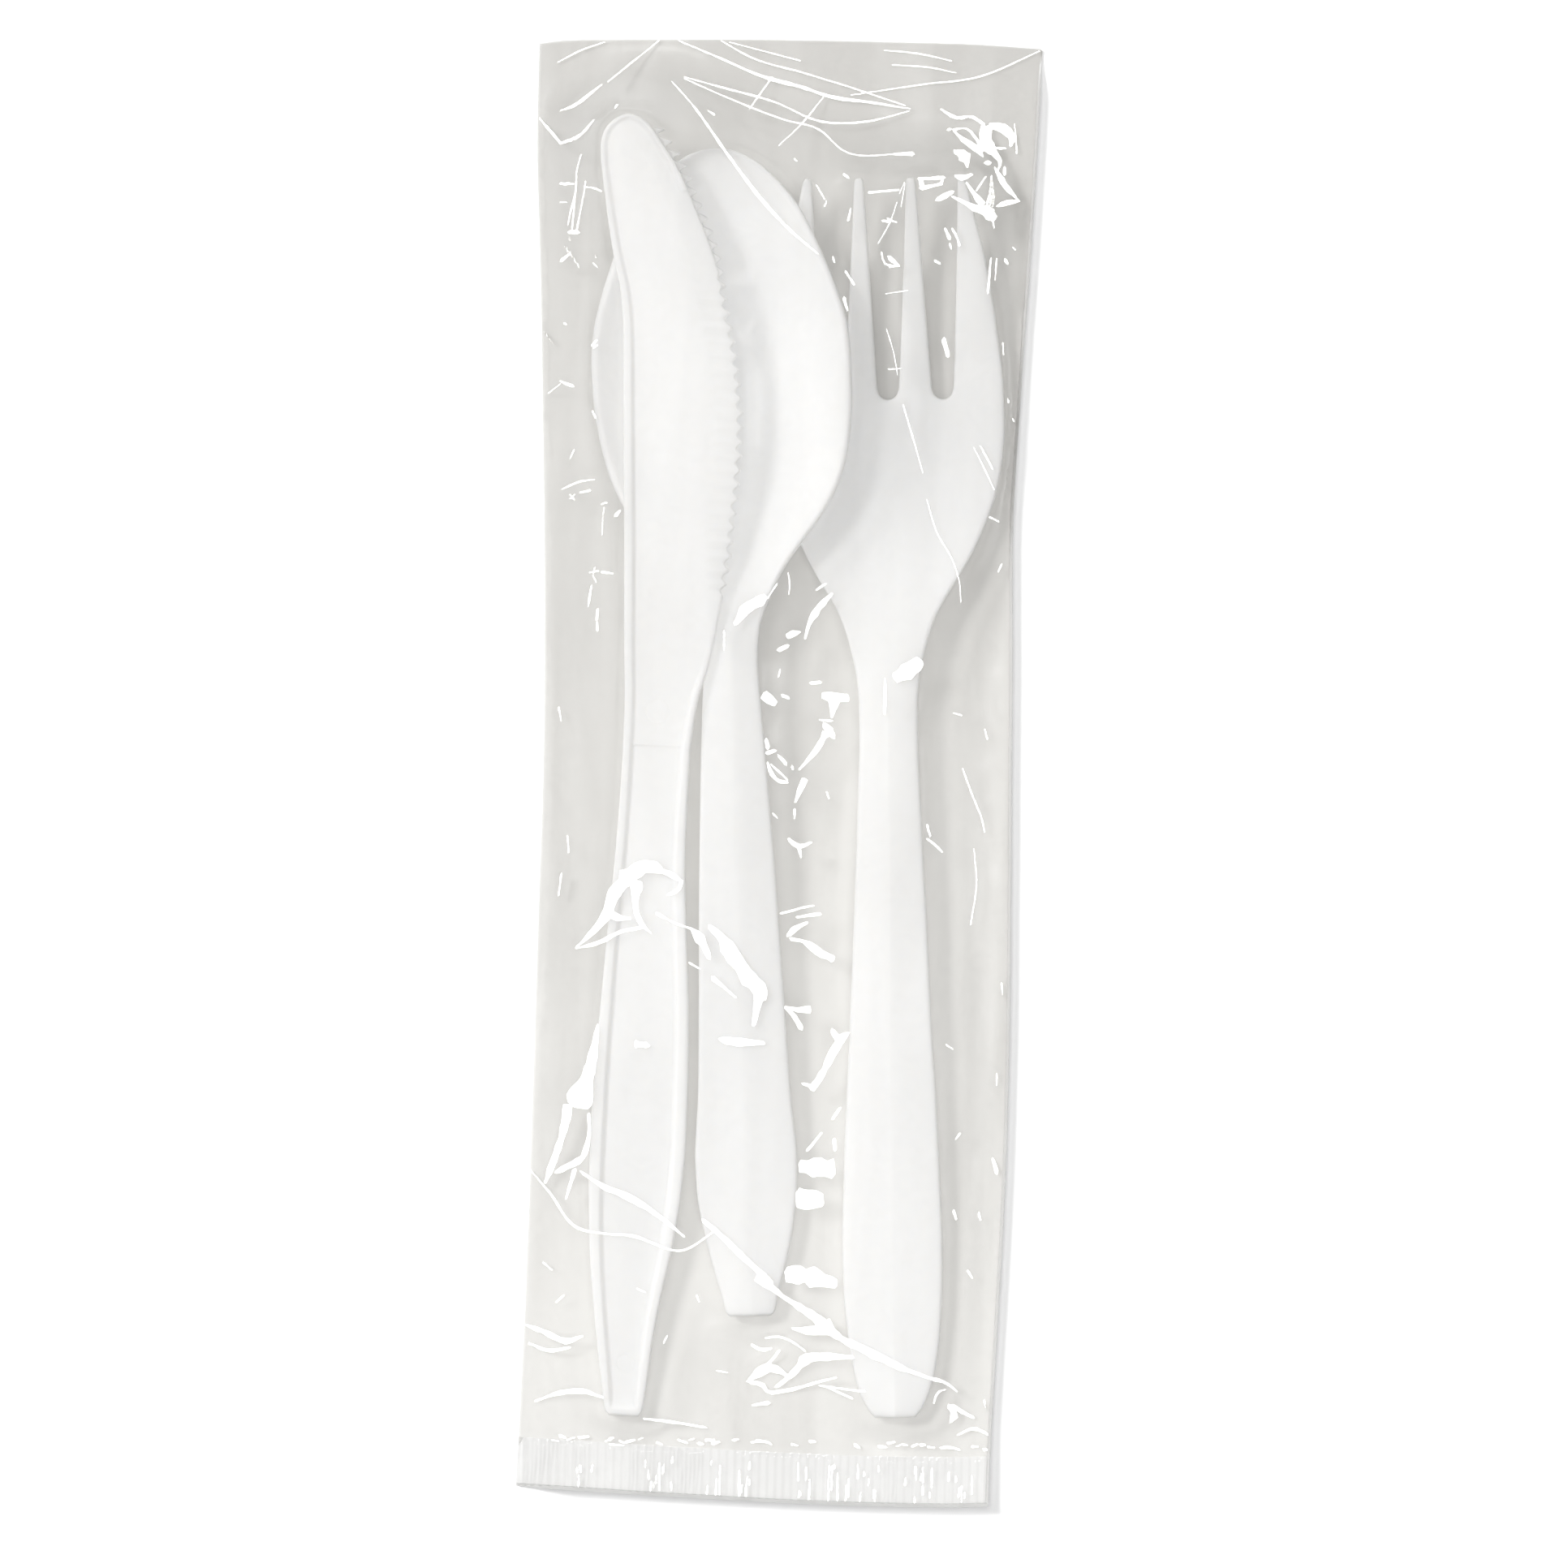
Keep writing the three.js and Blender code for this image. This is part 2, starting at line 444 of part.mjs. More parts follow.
// Height of the film's inner upper face at each node, zero clearance at the welds
const isPinched = (i, j) => i <= 1 || i >= NI - 2 || j === 0 || j >= NJ - 2;
const MID = FILM; // height at which the two layers meet
const samples = [];
for (let j = 0; j < NJ - 1; j++) {
  for (let i = 0; i < NI - 1; i++) {
    const q = [id(i, j), id(i + 1, j), id(i + 1, j + 1), id(i, j + 1)];
    for (const t of [[0, 1, 2], [0, 2, 3]]) {
      const tri = t.map((k) => q[k]);
      const [A, B, C] = tri.map((k) => grid[k]);
      const det = (B[0] - A[0]) * (C[1] - A[1]) - (C[0] - A[0]) * (B[1] - A[1]);
      const i0 = Math.ceil((Math.min(A[0], B[0], C[0]) - X0) / FINE);
      const i1 = Math.floor((Math.max(A[0], B[0], C[0]) - X0) / FINE);
      const j0 = Math.ceil((Math.min(A[1], B[1], C[1]) - Y0) / FINE);
      const j1 = Math.floor((Math.max(A[1], B[1], C[1]) - Y0) / FINE);
      for (let jj = j0; jj <= j1; jj++) {
        for (let ii = i0; ii <= i1; ii++) {
          if (ii < 0 || jj < 0 || ii >= FX || jj >= FY || support[jj * FX + ii] < 0) continue;
          const x = X0 + ii * FINE;
          const y = Y0 + jj * FINE;
          const v = ((x - A[0]) * (C[1] - A[1]) - (C[0] - A[0]) * (y - A[1])) / det;
          const w = ((B[0] - A[0]) * (y - A[1]) - (x - A[0]) * (B[1] - A[1])) / det;
          if (v < -1e-6 || w < -1e-6 || v + w > 1 + 1e-6) continue;
          samples.push([tri, [1 - v - w, v, w], support[jj * FX + ii] + CLEARANCE + 0.1]);
        }
      }
    }
  }
}
const heldBy = Array.from({ length: NI * NJ }, () => []);
for (const sample of samples) {
  const [tri, w] = sample;
  for (let n = 0; n < 3; n++) if (w[n] > 0.33) heldBy[tri[n]].push([n, sample]);
}
// A film under tension: every node rests at the mean of its neighbours unless the cutlery holds it up
const height = new Float64Array(NI * NJ).fill(MID);
for (let round = 0; round < 900; round++) {
  for (let j = 1; j < NJ - 2; j++) {
    for (let i = 2; i < NI - 2; i++) {
      const k = id(i, j);
      const [x, y] = grid[k];
      const dxl = x - grid[k - 1][0];
      const dxr = grid[k + 1][0] - x;
      const dyl = y - grid[k - NI][1];
      const dyr = grid[k + NI][1] - y;
      const wx = 2 / (dxl + dxr);
      const wy = 0.5 * 2 / (dyl + dyr);
      const a = wx / dxl;
      const b = wx / dxr;
      const c = wy / dyl;
      const d = wy / dyr;
      let z = (a * height[k - 1] + b * height[k + 1] + c * height[k - NI] + d * height[k + NI]) / (a + b + c + d);
      for (const [n, [tri, w, need]] of heldBy[k]) {
        const others = w[(n + 1) % 3] * height[tri[(n + 1) % 3]] + w[(n + 2) % 3] * height[tri[(n + 2) % 3]];
        z = Math.max(z, (need - others) / w[n]);
      }
      height[k] = z;
    }
  }
}

function pouchGeometry() {
  const points = [];
  const triangles = [];
  const add = (x, y, z) => points.push([x, y, z]) - 1;
  const lowOut = [];
  const lowIn = [];
  const topIn = [];
  const topOut = [];
  for (let j = 0; j < NJ; j++) {
    for (let i = 0; i < NI; i++) {
      const [x, y] = grid[id(i, j)];
      const pinched = isPinched(i, j);
      lowOut.push(add(x, y, 0));
      const low = add(x, y, MID);
      lowIn.push(low);
      topIn.push(pinched ? low : add(x, y, Math.max(height[id(i, j)], MID + 0.05)));
      topOut.push(add(x, y, (pinched ? MID : Math.max(height[id(i, j)], MID + 0.05)) + FILM));
    }
  }
  const absent = (i, j) => j === nickRow && i >= NI - 3;
  const hollow = (i, j) => i >= 1 && i < NI - 2 && j >= 0 && j < NJ - 2;
  const quad = (a, b, c, d) => triangles.push([a, b, c], [a, c, d]);
  for (let j = 0; j < NJ - 1; j++) {
    for (let i = 0; i < NI - 1; i++) {
      if (absent(i, j)) continue;
      const q = [id(i, j), id(i + 1, j), id(i + 1, j + 1), id(i, j + 1)];
      // the diagonal of a corner cell runs through its one open corner
      const open = q.map((k) => topIn[k] !== lowIn[k]);
      const turn = open.filter(Boolean).length === 1 && (open[1] || open[3]) ? 1 : 0;
      const r = [0, 1, 2, 3].map((n) => q[(n + turn) % 4]);
      const quadOn = (layer, up) => {
        const v = r.map((k) => layer[k]);
        if (up) quad(v[0], v[1], v[2], v[3]);
        else quad(v[0], v[3], v[2], v[1]);
      };
      // both orders of quad() cut the cell along the same diagonal, r[0]-r[2]
      quadOn(topOut, true);
      quadOn(lowOut, false);
      if (hollow(i, j)) {
        quadOn(topIn, false);
        quadOn(lowIn, true);
      }
    }
  }
  const wall = (k0, k1) => {
    // outward wall along the edge k0 -> k1, with the body on its left
    quad(lowOut[k0], lowOut[k1], lowIn[k1], lowIn[k0]);
    quad(topIn[k0], topIn[k1], topOut[k1], topOut[k0]);
  };
  const inside = (i, j) => i >= 0 && j >= 0 && i < NI - 1 && j < NJ - 1 && !absent(i, j);
  for (let j = 0; j < NJ - 1; j++) {
    for (let i = 0; i < NI - 1; i++) {
      if (!inside(i, j)) continue;
      const q = [id(i, j), id(i + 1, j), id(i + 1, j + 1), id(i, j + 1)];
      if (!inside(i, j - 1) && j > 0) wall(q[0], q[1]);
      if (!inside(i + 1, j)) wall(q[1], q[2]);
      if (!inside(i, j + 1)) wall(q[2], q[3]);
      if (!inside(i - 1, j)) wall(q[3], q[0]);
    }
  }
  // Crimp: the two layers pressed into one ribbed strip
  const ribs = Math.round((rightEdge(-88) - leftEdge(-88)) / CRIMP_RIB_PITCH);
  const steps = ribs * 2;
  const crimpRow = (t) => {
    const row = [];
    for (let s = 0; s <= steps; s++) {
      const v = s / steps;
      const yTop = -86;
      const xTop = mix(leftEdge(yTop), rightEdge(yTop), v);
      const yBottom = bottomEdge(mix(leftEdge(-93.1), rightEdge(-93.1), v));
      const xBottom = mix(leftEdge(-93.1), rightEdge(-93.1), v);
      const x = mix(xTop, xBottom, t);
      const y = mix(bottomEdge(xTop) + CRIMP_HEIGHT, yBottom, t);
      const rise = s % 2 ? CRIMP_RIB_HEIGHT : 0;
      row.push([add(x, y, rise), add(x, y, rise + FILM), add(x, y, rise + 2 * FILM)]);
    }
    return row;
  };
  const rowA = crimpRow(0.12);
  const rowB = crimpRow(1);
  for (let s = 0; s < steps; s++) {
    quad(rowB[s][2], rowB[s + 1][2], rowA[s + 1][2], rowA[s][2]);
    quad(rowB[s][0], rowA[s][0], rowA[s + 1][0], rowB[s + 1][0]);
    quad(rowB[s][0], rowB[s + 1][0], rowB[s + 1][1], rowB[s][1]);
    quad(rowB[s][1], rowB[s + 1][1], rowB[s + 1][2], rowB[s][2]);
  }
  const side = (a, b) => {
    quad(a[0], b[0], b[1], a[1]);
    quad(a[1], b[1], b[2], a[2]);
  };
  side(rowA[0], rowB[0]);
  side(rowB[steps], rowA[steps]);
  const first = [];
  for (let i = 0; i < NI; i++) first.push([lowOut[i], lowIn[i], topOut[i]]);
  side(first[0], rowA[0]);
  side(rowA[steps], first[NI - 1]);
  // Joins the coarse first row to the fine ribbed row
  let i = 0;
  let s = 0;
  while (i < NI - 1 || s < steps) {
    const nextCoarse = i < NI - 1 ? points[first[i + 1][0]][0] : Infinity;
    const nextFine = s < steps ? points[rowA[s + 1][0]][0] : Infinity;
    if (nextFine <= nextCoarse) {
      triangles.push([first[i][2], rowA[s][2], rowA[s + 1][2]]);
      triangles.push([first[i][0], rowA[s + 1][0], rowA[s][0]]);
      s++;
    } else {
      triangles.push([first[i][2], rowA[s][2], first[i + 1][2]]);
      triangles.push([first[i][0], first[i + 1][0], rowA[s][0]]);
      i++;
    }
  }
  return geometry(points, triangles);
}

// ---------------------------------------------------------------- scene graph

function piece(name, g, material) {
  const shown = g.index ? g.clone() : g;
  shown.computeVertexNormals();
  const mesh = new THREE.Mesh(shown, material);
  mesh.name = name;
  return mesh;
}

const pack = new THREE.Group();
pack.name = 'cutlery_pack';
pack.add(piece('knife', knifeBody, new THREE.MeshStandardMaterial({ color: 0xf2f1ee, roughness: 0.42, metalness: 0 })));
pack.add(piece('spoon', spoonBody, new THREE.MeshStandardMaterial({ color: 0xf2f1ee, roughness: 0.42, metalness: 0 })));
pack.add(piece('fork', forkBody, new THREE.MeshStandardMaterial({ color: 0xf1f0ed, roughness: 0.42, metalness: 0 })));
pack.add(piece('film_pouch', pouchGeometry(), new THREE.MeshStandardMaterial({ color: 0xf4f6f7, roughness: 0.08, metalness: 0, transparent: true, opacity: 0.2 })));

export default pack;
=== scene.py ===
import math
import bpy
import numpy as np
from mathutils.geometry import delaunay_2d_cdt
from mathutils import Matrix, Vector


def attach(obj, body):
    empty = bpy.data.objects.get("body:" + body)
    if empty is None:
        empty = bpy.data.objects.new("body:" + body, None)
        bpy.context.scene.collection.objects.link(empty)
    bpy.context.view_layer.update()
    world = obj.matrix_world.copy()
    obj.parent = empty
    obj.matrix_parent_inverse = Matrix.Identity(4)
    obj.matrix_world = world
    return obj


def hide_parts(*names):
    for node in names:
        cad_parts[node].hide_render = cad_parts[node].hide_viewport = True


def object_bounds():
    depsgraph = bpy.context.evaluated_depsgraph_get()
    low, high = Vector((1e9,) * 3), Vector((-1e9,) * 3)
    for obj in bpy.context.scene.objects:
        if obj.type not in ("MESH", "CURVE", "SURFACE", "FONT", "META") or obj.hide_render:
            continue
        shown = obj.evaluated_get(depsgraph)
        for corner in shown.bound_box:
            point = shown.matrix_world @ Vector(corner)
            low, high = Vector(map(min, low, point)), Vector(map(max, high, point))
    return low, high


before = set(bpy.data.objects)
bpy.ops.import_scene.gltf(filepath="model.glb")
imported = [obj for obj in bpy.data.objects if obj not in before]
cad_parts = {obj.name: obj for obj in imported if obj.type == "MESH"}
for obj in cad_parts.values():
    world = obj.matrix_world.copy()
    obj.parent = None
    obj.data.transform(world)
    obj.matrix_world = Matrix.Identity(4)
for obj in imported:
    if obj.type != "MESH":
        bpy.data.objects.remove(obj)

cad_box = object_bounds()
MM = 0.001
scene = bpy.context.scene

# ------------------------------------------------------------------ helpers


class Curve:
    """Smooth monotone curve through [station, value, ...] rows."""

    def __init__(self, rows, column=1):
        x = np.array([r[0] for r in rows], float)
        y = np.array([r[column] for r in rows], float)
        d = np.diff(y) / np.diff(x)
        m = np.empty_like(x)
        m[0], m[-1] = d[0], d[-1]
        p = d[:-1] * d[1:]
        s = d[:-1] + d[1:]
        m[1:-1] = np.where(p <= 0, 0, 2 * p / np.where(np.abs(s) < 1e-12, 1, s))
        self.x, self.y, self.m = x, y, m

    def __call__(self, v):
        x, y, m = self.x, self.y, self.m
        v = np.clip(np.asarray(v, float), x[0], x[-1])
        i = np.clip(np.searchsorted(x, v, side="right") - 1, 0, len(x) - 2)
        h = x[i + 1] - x[i]
        t = (v - x[i]) / h
        t2, t3 = t * t, t * t * t
        return (2 * t3 - 3 * t2 + 1) * y[i] + (t3 - 2 * t2 + t) * h * m[i] + (3 * t2 - 2 * t3) * y[i + 1] + (t3 - t2) * h * m[i + 1]


def smooth(a, b, v):
    t = np.clip((np.asarray(v, float) - a) / (b - a), 0, 1)
    return t * t * (3 - 2 * t)


def mix(a, b, t):
    return a + (b - a) * t


def distance_to(points, line, closed=True):
    """Distance of each [x, y] to a polyline."""
    a = line
    b = np.roll(line, -1, axis=0) if closed else line[1:]
    if not closed:
        a = line[:-1]
    ab = b - a
    l2 = np.maximum((ab ** 2).sum(1), 1e-12)
    out = np.empty(len(points))
    for s in range(0, len(points), 4096):
        p = points[s:s + 4096]
        ap = p[:, None, :] - a[None]
        t = np.clip((ap * ab[None]).sum(2) / l2[None], 0, 1)
        d = ap - t[..., None] * ab[None]
        out[s:s + 4096] = np.sqrt((d ** 2).sum(2).min(1))
    return out


def fillet(d, r):
    """Drop of a rounded edge of radius r at distance d from the outline."""
    q = np.clip(r - d, 0, r)
    return r - np.sqrt(np.maximum(r * r - q * q, 0))


def mesh_object(name, points, faces, smooth_faces=True):
    me = bpy.data.meshes.new(name)
    me.from_pydata([tuple(p) for p in np.asarray(points) * MM], [], faces)
    me.validate()
    me.update()
    if smooth_faces:
        me.polygons.foreach_set("use_smooth", np.ones(len(me.polygons), bool))
    ob = bpy.data.objects.new(name, me)
    scene.collection.objects.link(ob)
    return ob


def lay(p, x, y, turn, roll=0.0, z=0.0):
    """Turns a local point cloud into its place in the pack."""
    p = np.array(p, float)
    r = math.radians(roll)
    q = p.copy()
    q[:, 0] = p[:, 0] * math.cos(r) + p[:, 2] * math.sin(r)
    q[:, 2] = -p[:, 0] * math.sin(r) + p[:, 2] * math.cos(r)
    a = math.radians(turn)
    o = q.copy()
    o[:, 0] = q[:, 0] * math.cos(a) - q[:, 1] * math.sin(a) + x
    o[:, 1] = q[:, 0] * math.sin(a) + q[:, 1] * math.cos(a) + y
    o[:, 2] = q[:, 2] + z
    return o


def closed_strips(top, bottom):
    """Faces of a closed body of long strips side by side. top and bottom are lists of strips, each an
    array [rows, columns, 3]; neighbouring strips share their edge wherever their points agree."""
    points = []
    faces = []
    index = {}

    def add(p):
        key = (round(p[0], 4), round(p[1], 4), round(p[2], 4))
        k = index.get(key)
        if k is None:
            k = index[key] = len(points)
            points.append(p)
        return k

    def quad(a, b, c, d):
        f = []
        for k in (a, b, c, d):
            if k not in f:
                f.append(k)
        if len(f) > 2:
            faces.append(tuple(f))

    ids_top = [[[add(tuple(p)) for p in row] for row in s] for s in top]
    ids_bot = [[[add(tuple(p)) for p in row] for row in s] for s in bottom]
    for ids, up in ((ids_top, True), (ids_bot, False)):
        for s in ids:
            for j in range(len(s) - 1):
                for i in range(len(s[j]) - 1):
                    q = (s[j][i], s[j][i + 1], s[j + 1][i + 1], s[j + 1][i])
                    quad(*(q if up else q[::-1]))
    # walls wherever an edge of the top has no face on its other side
    count = {}
    for f in faces:
        for a, b in zip(f, f[1:] + f[:1]):
            count[(a, b)] = count.get((a, b), 0) + 1
    for st, sb in zip(ids_top, ids_bot):
        for j in range(len(st) - 1):
            for i_top, i_bot, flip in ((0, 0, False), (-1, -1, True)):
                a, b = st[j][i_top], st[j + 1][i_top]
                c, d = sb[j + 1][i_bot], sb[j][i_bot]
                edge = (b, a) if not flip else (a, b)
                if edge in count and edge[::-1] in count:
                    continue
                quad(*((a, b, c, d) if not flip else (b, a, d, c)))
        # end caps: a fan between the first rows of the top and the bottom
        for j, flip in ((0, True), (len(st) - 1, False)):
            ring = list(st[j]) + list(sb[j])[::-1]
            f = []
            for k in ring:
                if k not in f:
                    f.append(k)
            if len(f) > 2:
                faces.append(tuple(f[::-1] if flip else f))
    return np.array(points), faces

# ------------------------------------------------------------------ outlines, [station, left, right]

KNIFE_OUTLINE = [
    [0.0, -1.9, 1.9], [0.6, -2.35, 2.3], [2.9, -2.85, 2.6], [5.5, -3.25, 2.85], [10.5, -4.05, 3.3], [16.6, -4.85, 4.2],
    [22.5, -5.45, 5.25], [29.9, -5.85, 5.98], [35.4, -5.95, 6.18], [45.7, -5.75, 5.98], [52.0, -5.45, 5.7],
    [61.2, -5.05, 5.0], [68.5, -4.65, 4.45], [75.0, -4.38, 4.25], [84.0, -4.2, 4.25], [88.0, -4.2, 4.55],
    [91.5, -4.28, 5.0], [95.2, -4.5, 5.98], [98.8, -4.72, 6.65], [101.4, -4.85, 7.0], [104.3, -4.98, 7.45],
    [107.0, -5.12, 7.9], [110.1, -5.26, 8.2], [114.2, -5.48, 8.5], [118.3, -5.7, 8.75], [122.4, -5.94, 8.88],
    [126.5, -6.16, 8.8], [130.4, -6.36, 8.4], [134.5, -6.56, 7.78], [138.5, -6.8, 6.85], [142.2, -7.3, 5.84],
    [146.2, -8.3, 4.62], [149.7, -9.05, 3.15], [153.2, -9.72, 1.55], [156.5, -10.28, 0.0], [159.0, -10.62, -1.45],
    [160.6, -10.7, -2.6], [162.0, -10.45, -3.65], [163.1, -9.85, -4.5], [163.9, -9.0, -5.4], [164.4, -8.15, -6.4],
    [164.6, -7.6, -7.1],
]
SPOON_OUTLINE = [
    [0.0, -2.5, 2.5], [0.35, -3.0, 3.0], [2.3, -3.5, 3.45], [4.7, -4.15, 4.1], [8.3, -5.05, 5.1], [12.0, -5.8, 5.85],
    [16.0, -6.35, 6.35], [20.5, -6.45, 6.5], [24.0, -6.2, 6.25], [29.0, -5.8, 5.9], [40.3, -5.35, 5.45],
    [53.7, -4.9, 4.95], [63.0, -4.5, 4.5], [72.3, -4.05, 4.0], [78.0, -3.7, 3.65], [83.0, -3.42, 3.42], [87.0, -3.75, 3.8],
    [91.0, -5.2, 5.2], [93.7, -6.5, 6.5], [95.2, -7.35, 7.4], [98.6, -9.85, 9.9], [101.2, -11.8, 11.9],
    [104.7, -13.6, 14.0], [108.0, -14.75, 15.2], [112.1, -15.65, 15.95], [117.0, -16.2, 16.28], [120.9, -16.3, 16.25],
    [125.0, -15.95, 16.0], [129.8, -14.75, 14.75], [134.1, -13.25, 13.2], [137.5, -11.85, 11.75], [140.3, -10.35, 10.35],
    [142.6, -8.75, 8.75], [144.6, -7.0, 7.0], [146.1, -5.3, 5.3], [147.2, -3.55, 3.55], [147.8, -1.9, 1.9], [148.0, -0.7, 0.7],
]
FORK_OUTLINE = [
    [0.0, -2.6, 2.6], [0.9, -3.35, 3.35], [2.9, -4.35, 4.35], [6.0, -5.2, 5.2], [11.0, -5.95, 5.85], [15.3, -6.35, 6.15],
    [21.4, -6.5, 6.25], [30.7, -6.25, 6.0], [42.0, -5.7, 5.55], [51.3, -5.2, 5.05], [62.6, -4.65, 4.65],
    [71.5, -4.25, 4.28], [79.0, -3.98, 3.98], [86.0, -3.72, 3.72], [90.5, -3.74, 3.74], [94.0, -4.02, 4.02],
    [98.5, -4.98, 4.98], [101.5, -5.95, 6.0], [104.0, -7.2, 7.3], [106.3, -8.6, 8.75], [109.8, -10.5, 10.8],
    [112.5, -11.7, 12.05], [115.2, -12.8, 13.15], [118.0, -13.65, 14.0], [122.3, -14.4, 14.75], [126.4, -14.6, 14.98],
    [131.1, -14.45, 14.85], [138.7, -13.7, 14.05], [145.2, -12.75, 13.05], [149.4, -11.9, 12.2], [152.0, -11.3, 11.55],
    [154.8, -10.7, 10.9], [156.3, -10.35, 10.5], [157.3, -10.1, 10.2],
]
POUCH_LEFT = [
    [-93.15, -30.12], [-86.3, -29.94], [-78.0, -29.75], [-69.8, -29.56], [-61.5, -29.47], [-53.2, -29.38], [-43.9, -29.32],
    [-30.9, -29.25], [-16.4, -29.17], [-4.0, -29.06], [8.4, -29.17], [16.7, -29.38], [25.0, -29.6], [35.3, -29.98],
    [44.0, -30.33], [58.4, -30.93], [66.7, -31.35], [72.9, -31.7], [78.0, -31.95], [84.0, -32.05], [93.15, -32.06],
]
POUCH_RIGHT = [
    [-93.15, 29.98], [-84.7, 30.08], [-78.5, 30.3], [-72.3, 30.49], [-66.1, 30.69], [-59.9, 30.88], [-53.6, 31.03],
    [-44.0, 31.13], [-34.0, 31.12], [-18.5, 30.87], [-8.2, 30.68], [4.2, 30.42], [12.5, 30.28], [24.9, 29.94], [31.1, 29.82],
    [37.3, 29.94], [43.5, 30.18], [49.7, 30.43], [56.0, 30.67], [64.2, 31.06], [70.5, 31.3], [80.8, 31.66], [89.1, 31.88],
    [93.15, 32.06],
]
POUCH_TOP = [
    [-32.06, 91.75], [-28.4, 92.25], [-22.2, 92.5], [-11.9, 92.8], [-3.6, 93.0], [8.8, 93.12], [21.2, 93.15], [32.06, 92.75],
]
POUCH_BOTTOM = [
    [-30.12, -91.9], [-23.5, -92.14], [-13.1, -92.53], [-0.7, -92.92], [5.5, -93.06], [14.0, -93.15], [24.1, -93.08], [30.0, -92.8],
]

# ------------------------------------------------------------------ knife

WALL = 1.1
KNIFE_LENGTH, KNIFE_WEB, KNIFE_RIM = 164.6, 1.15, 0.55
TOOTH_PITCH, TOOTH_DEPTH, TOOTHED = 1.81, 0.62, (104.2, 163.0)
PANEL_END, PANEL_SINK = 85.2, 0.15
knife_lift = Curve([[0, 0.4], [20, 1.8], [40, 3.2], [60, 4.6], [80, 5.95], [95, 6.9], [108, 7.7], [117, 8.15], [128, 8.55], [140, 8.85], [150, 9.0], [164.6, 9.1]])
knife_left, knife_right = Curve(KNIFE_OUTLINE, 1), Curve(KNIFE_OUTLINE, 2)
knife_rim_l = Curve([[0, 0.9], [3, 1.3], [20, 1.7], [35, 1.9], [60, 1.55], [85, 1.35], [110, 1.45], [130, 1.45], [148, 1.15], [158, 0.95], [164.6, 0.8]])
knife_rim_r = Curve([[0, 0.9], [3, 1.3], [20, 1.7], [35, 2.0], [60, 1.8], [75, 1.6], [92, 1.1], [100, 0.8], [164.6, 0.3]])


EDGE_Y = np.arange(TOOTHED[0], TOOTHED[1] + .3, .05)
EDGE_S = np.concatenate([[0], np.cumsum(np.hypot(np.diff(knife_right(EDGE_Y)), np.diff(EDGE_Y)))])


def notch(y):
    """Depth of the scallops between the teeth, 0 at a tooth's point and 1 mid-way."""
    t = np.interp(np.asarray(y, float), EDGE_Y, EDGE_S) / TOOTH_PITCH
    return 1 - (.5 + .5 * np.cos(2 * math.pi * t)) ** 1.3


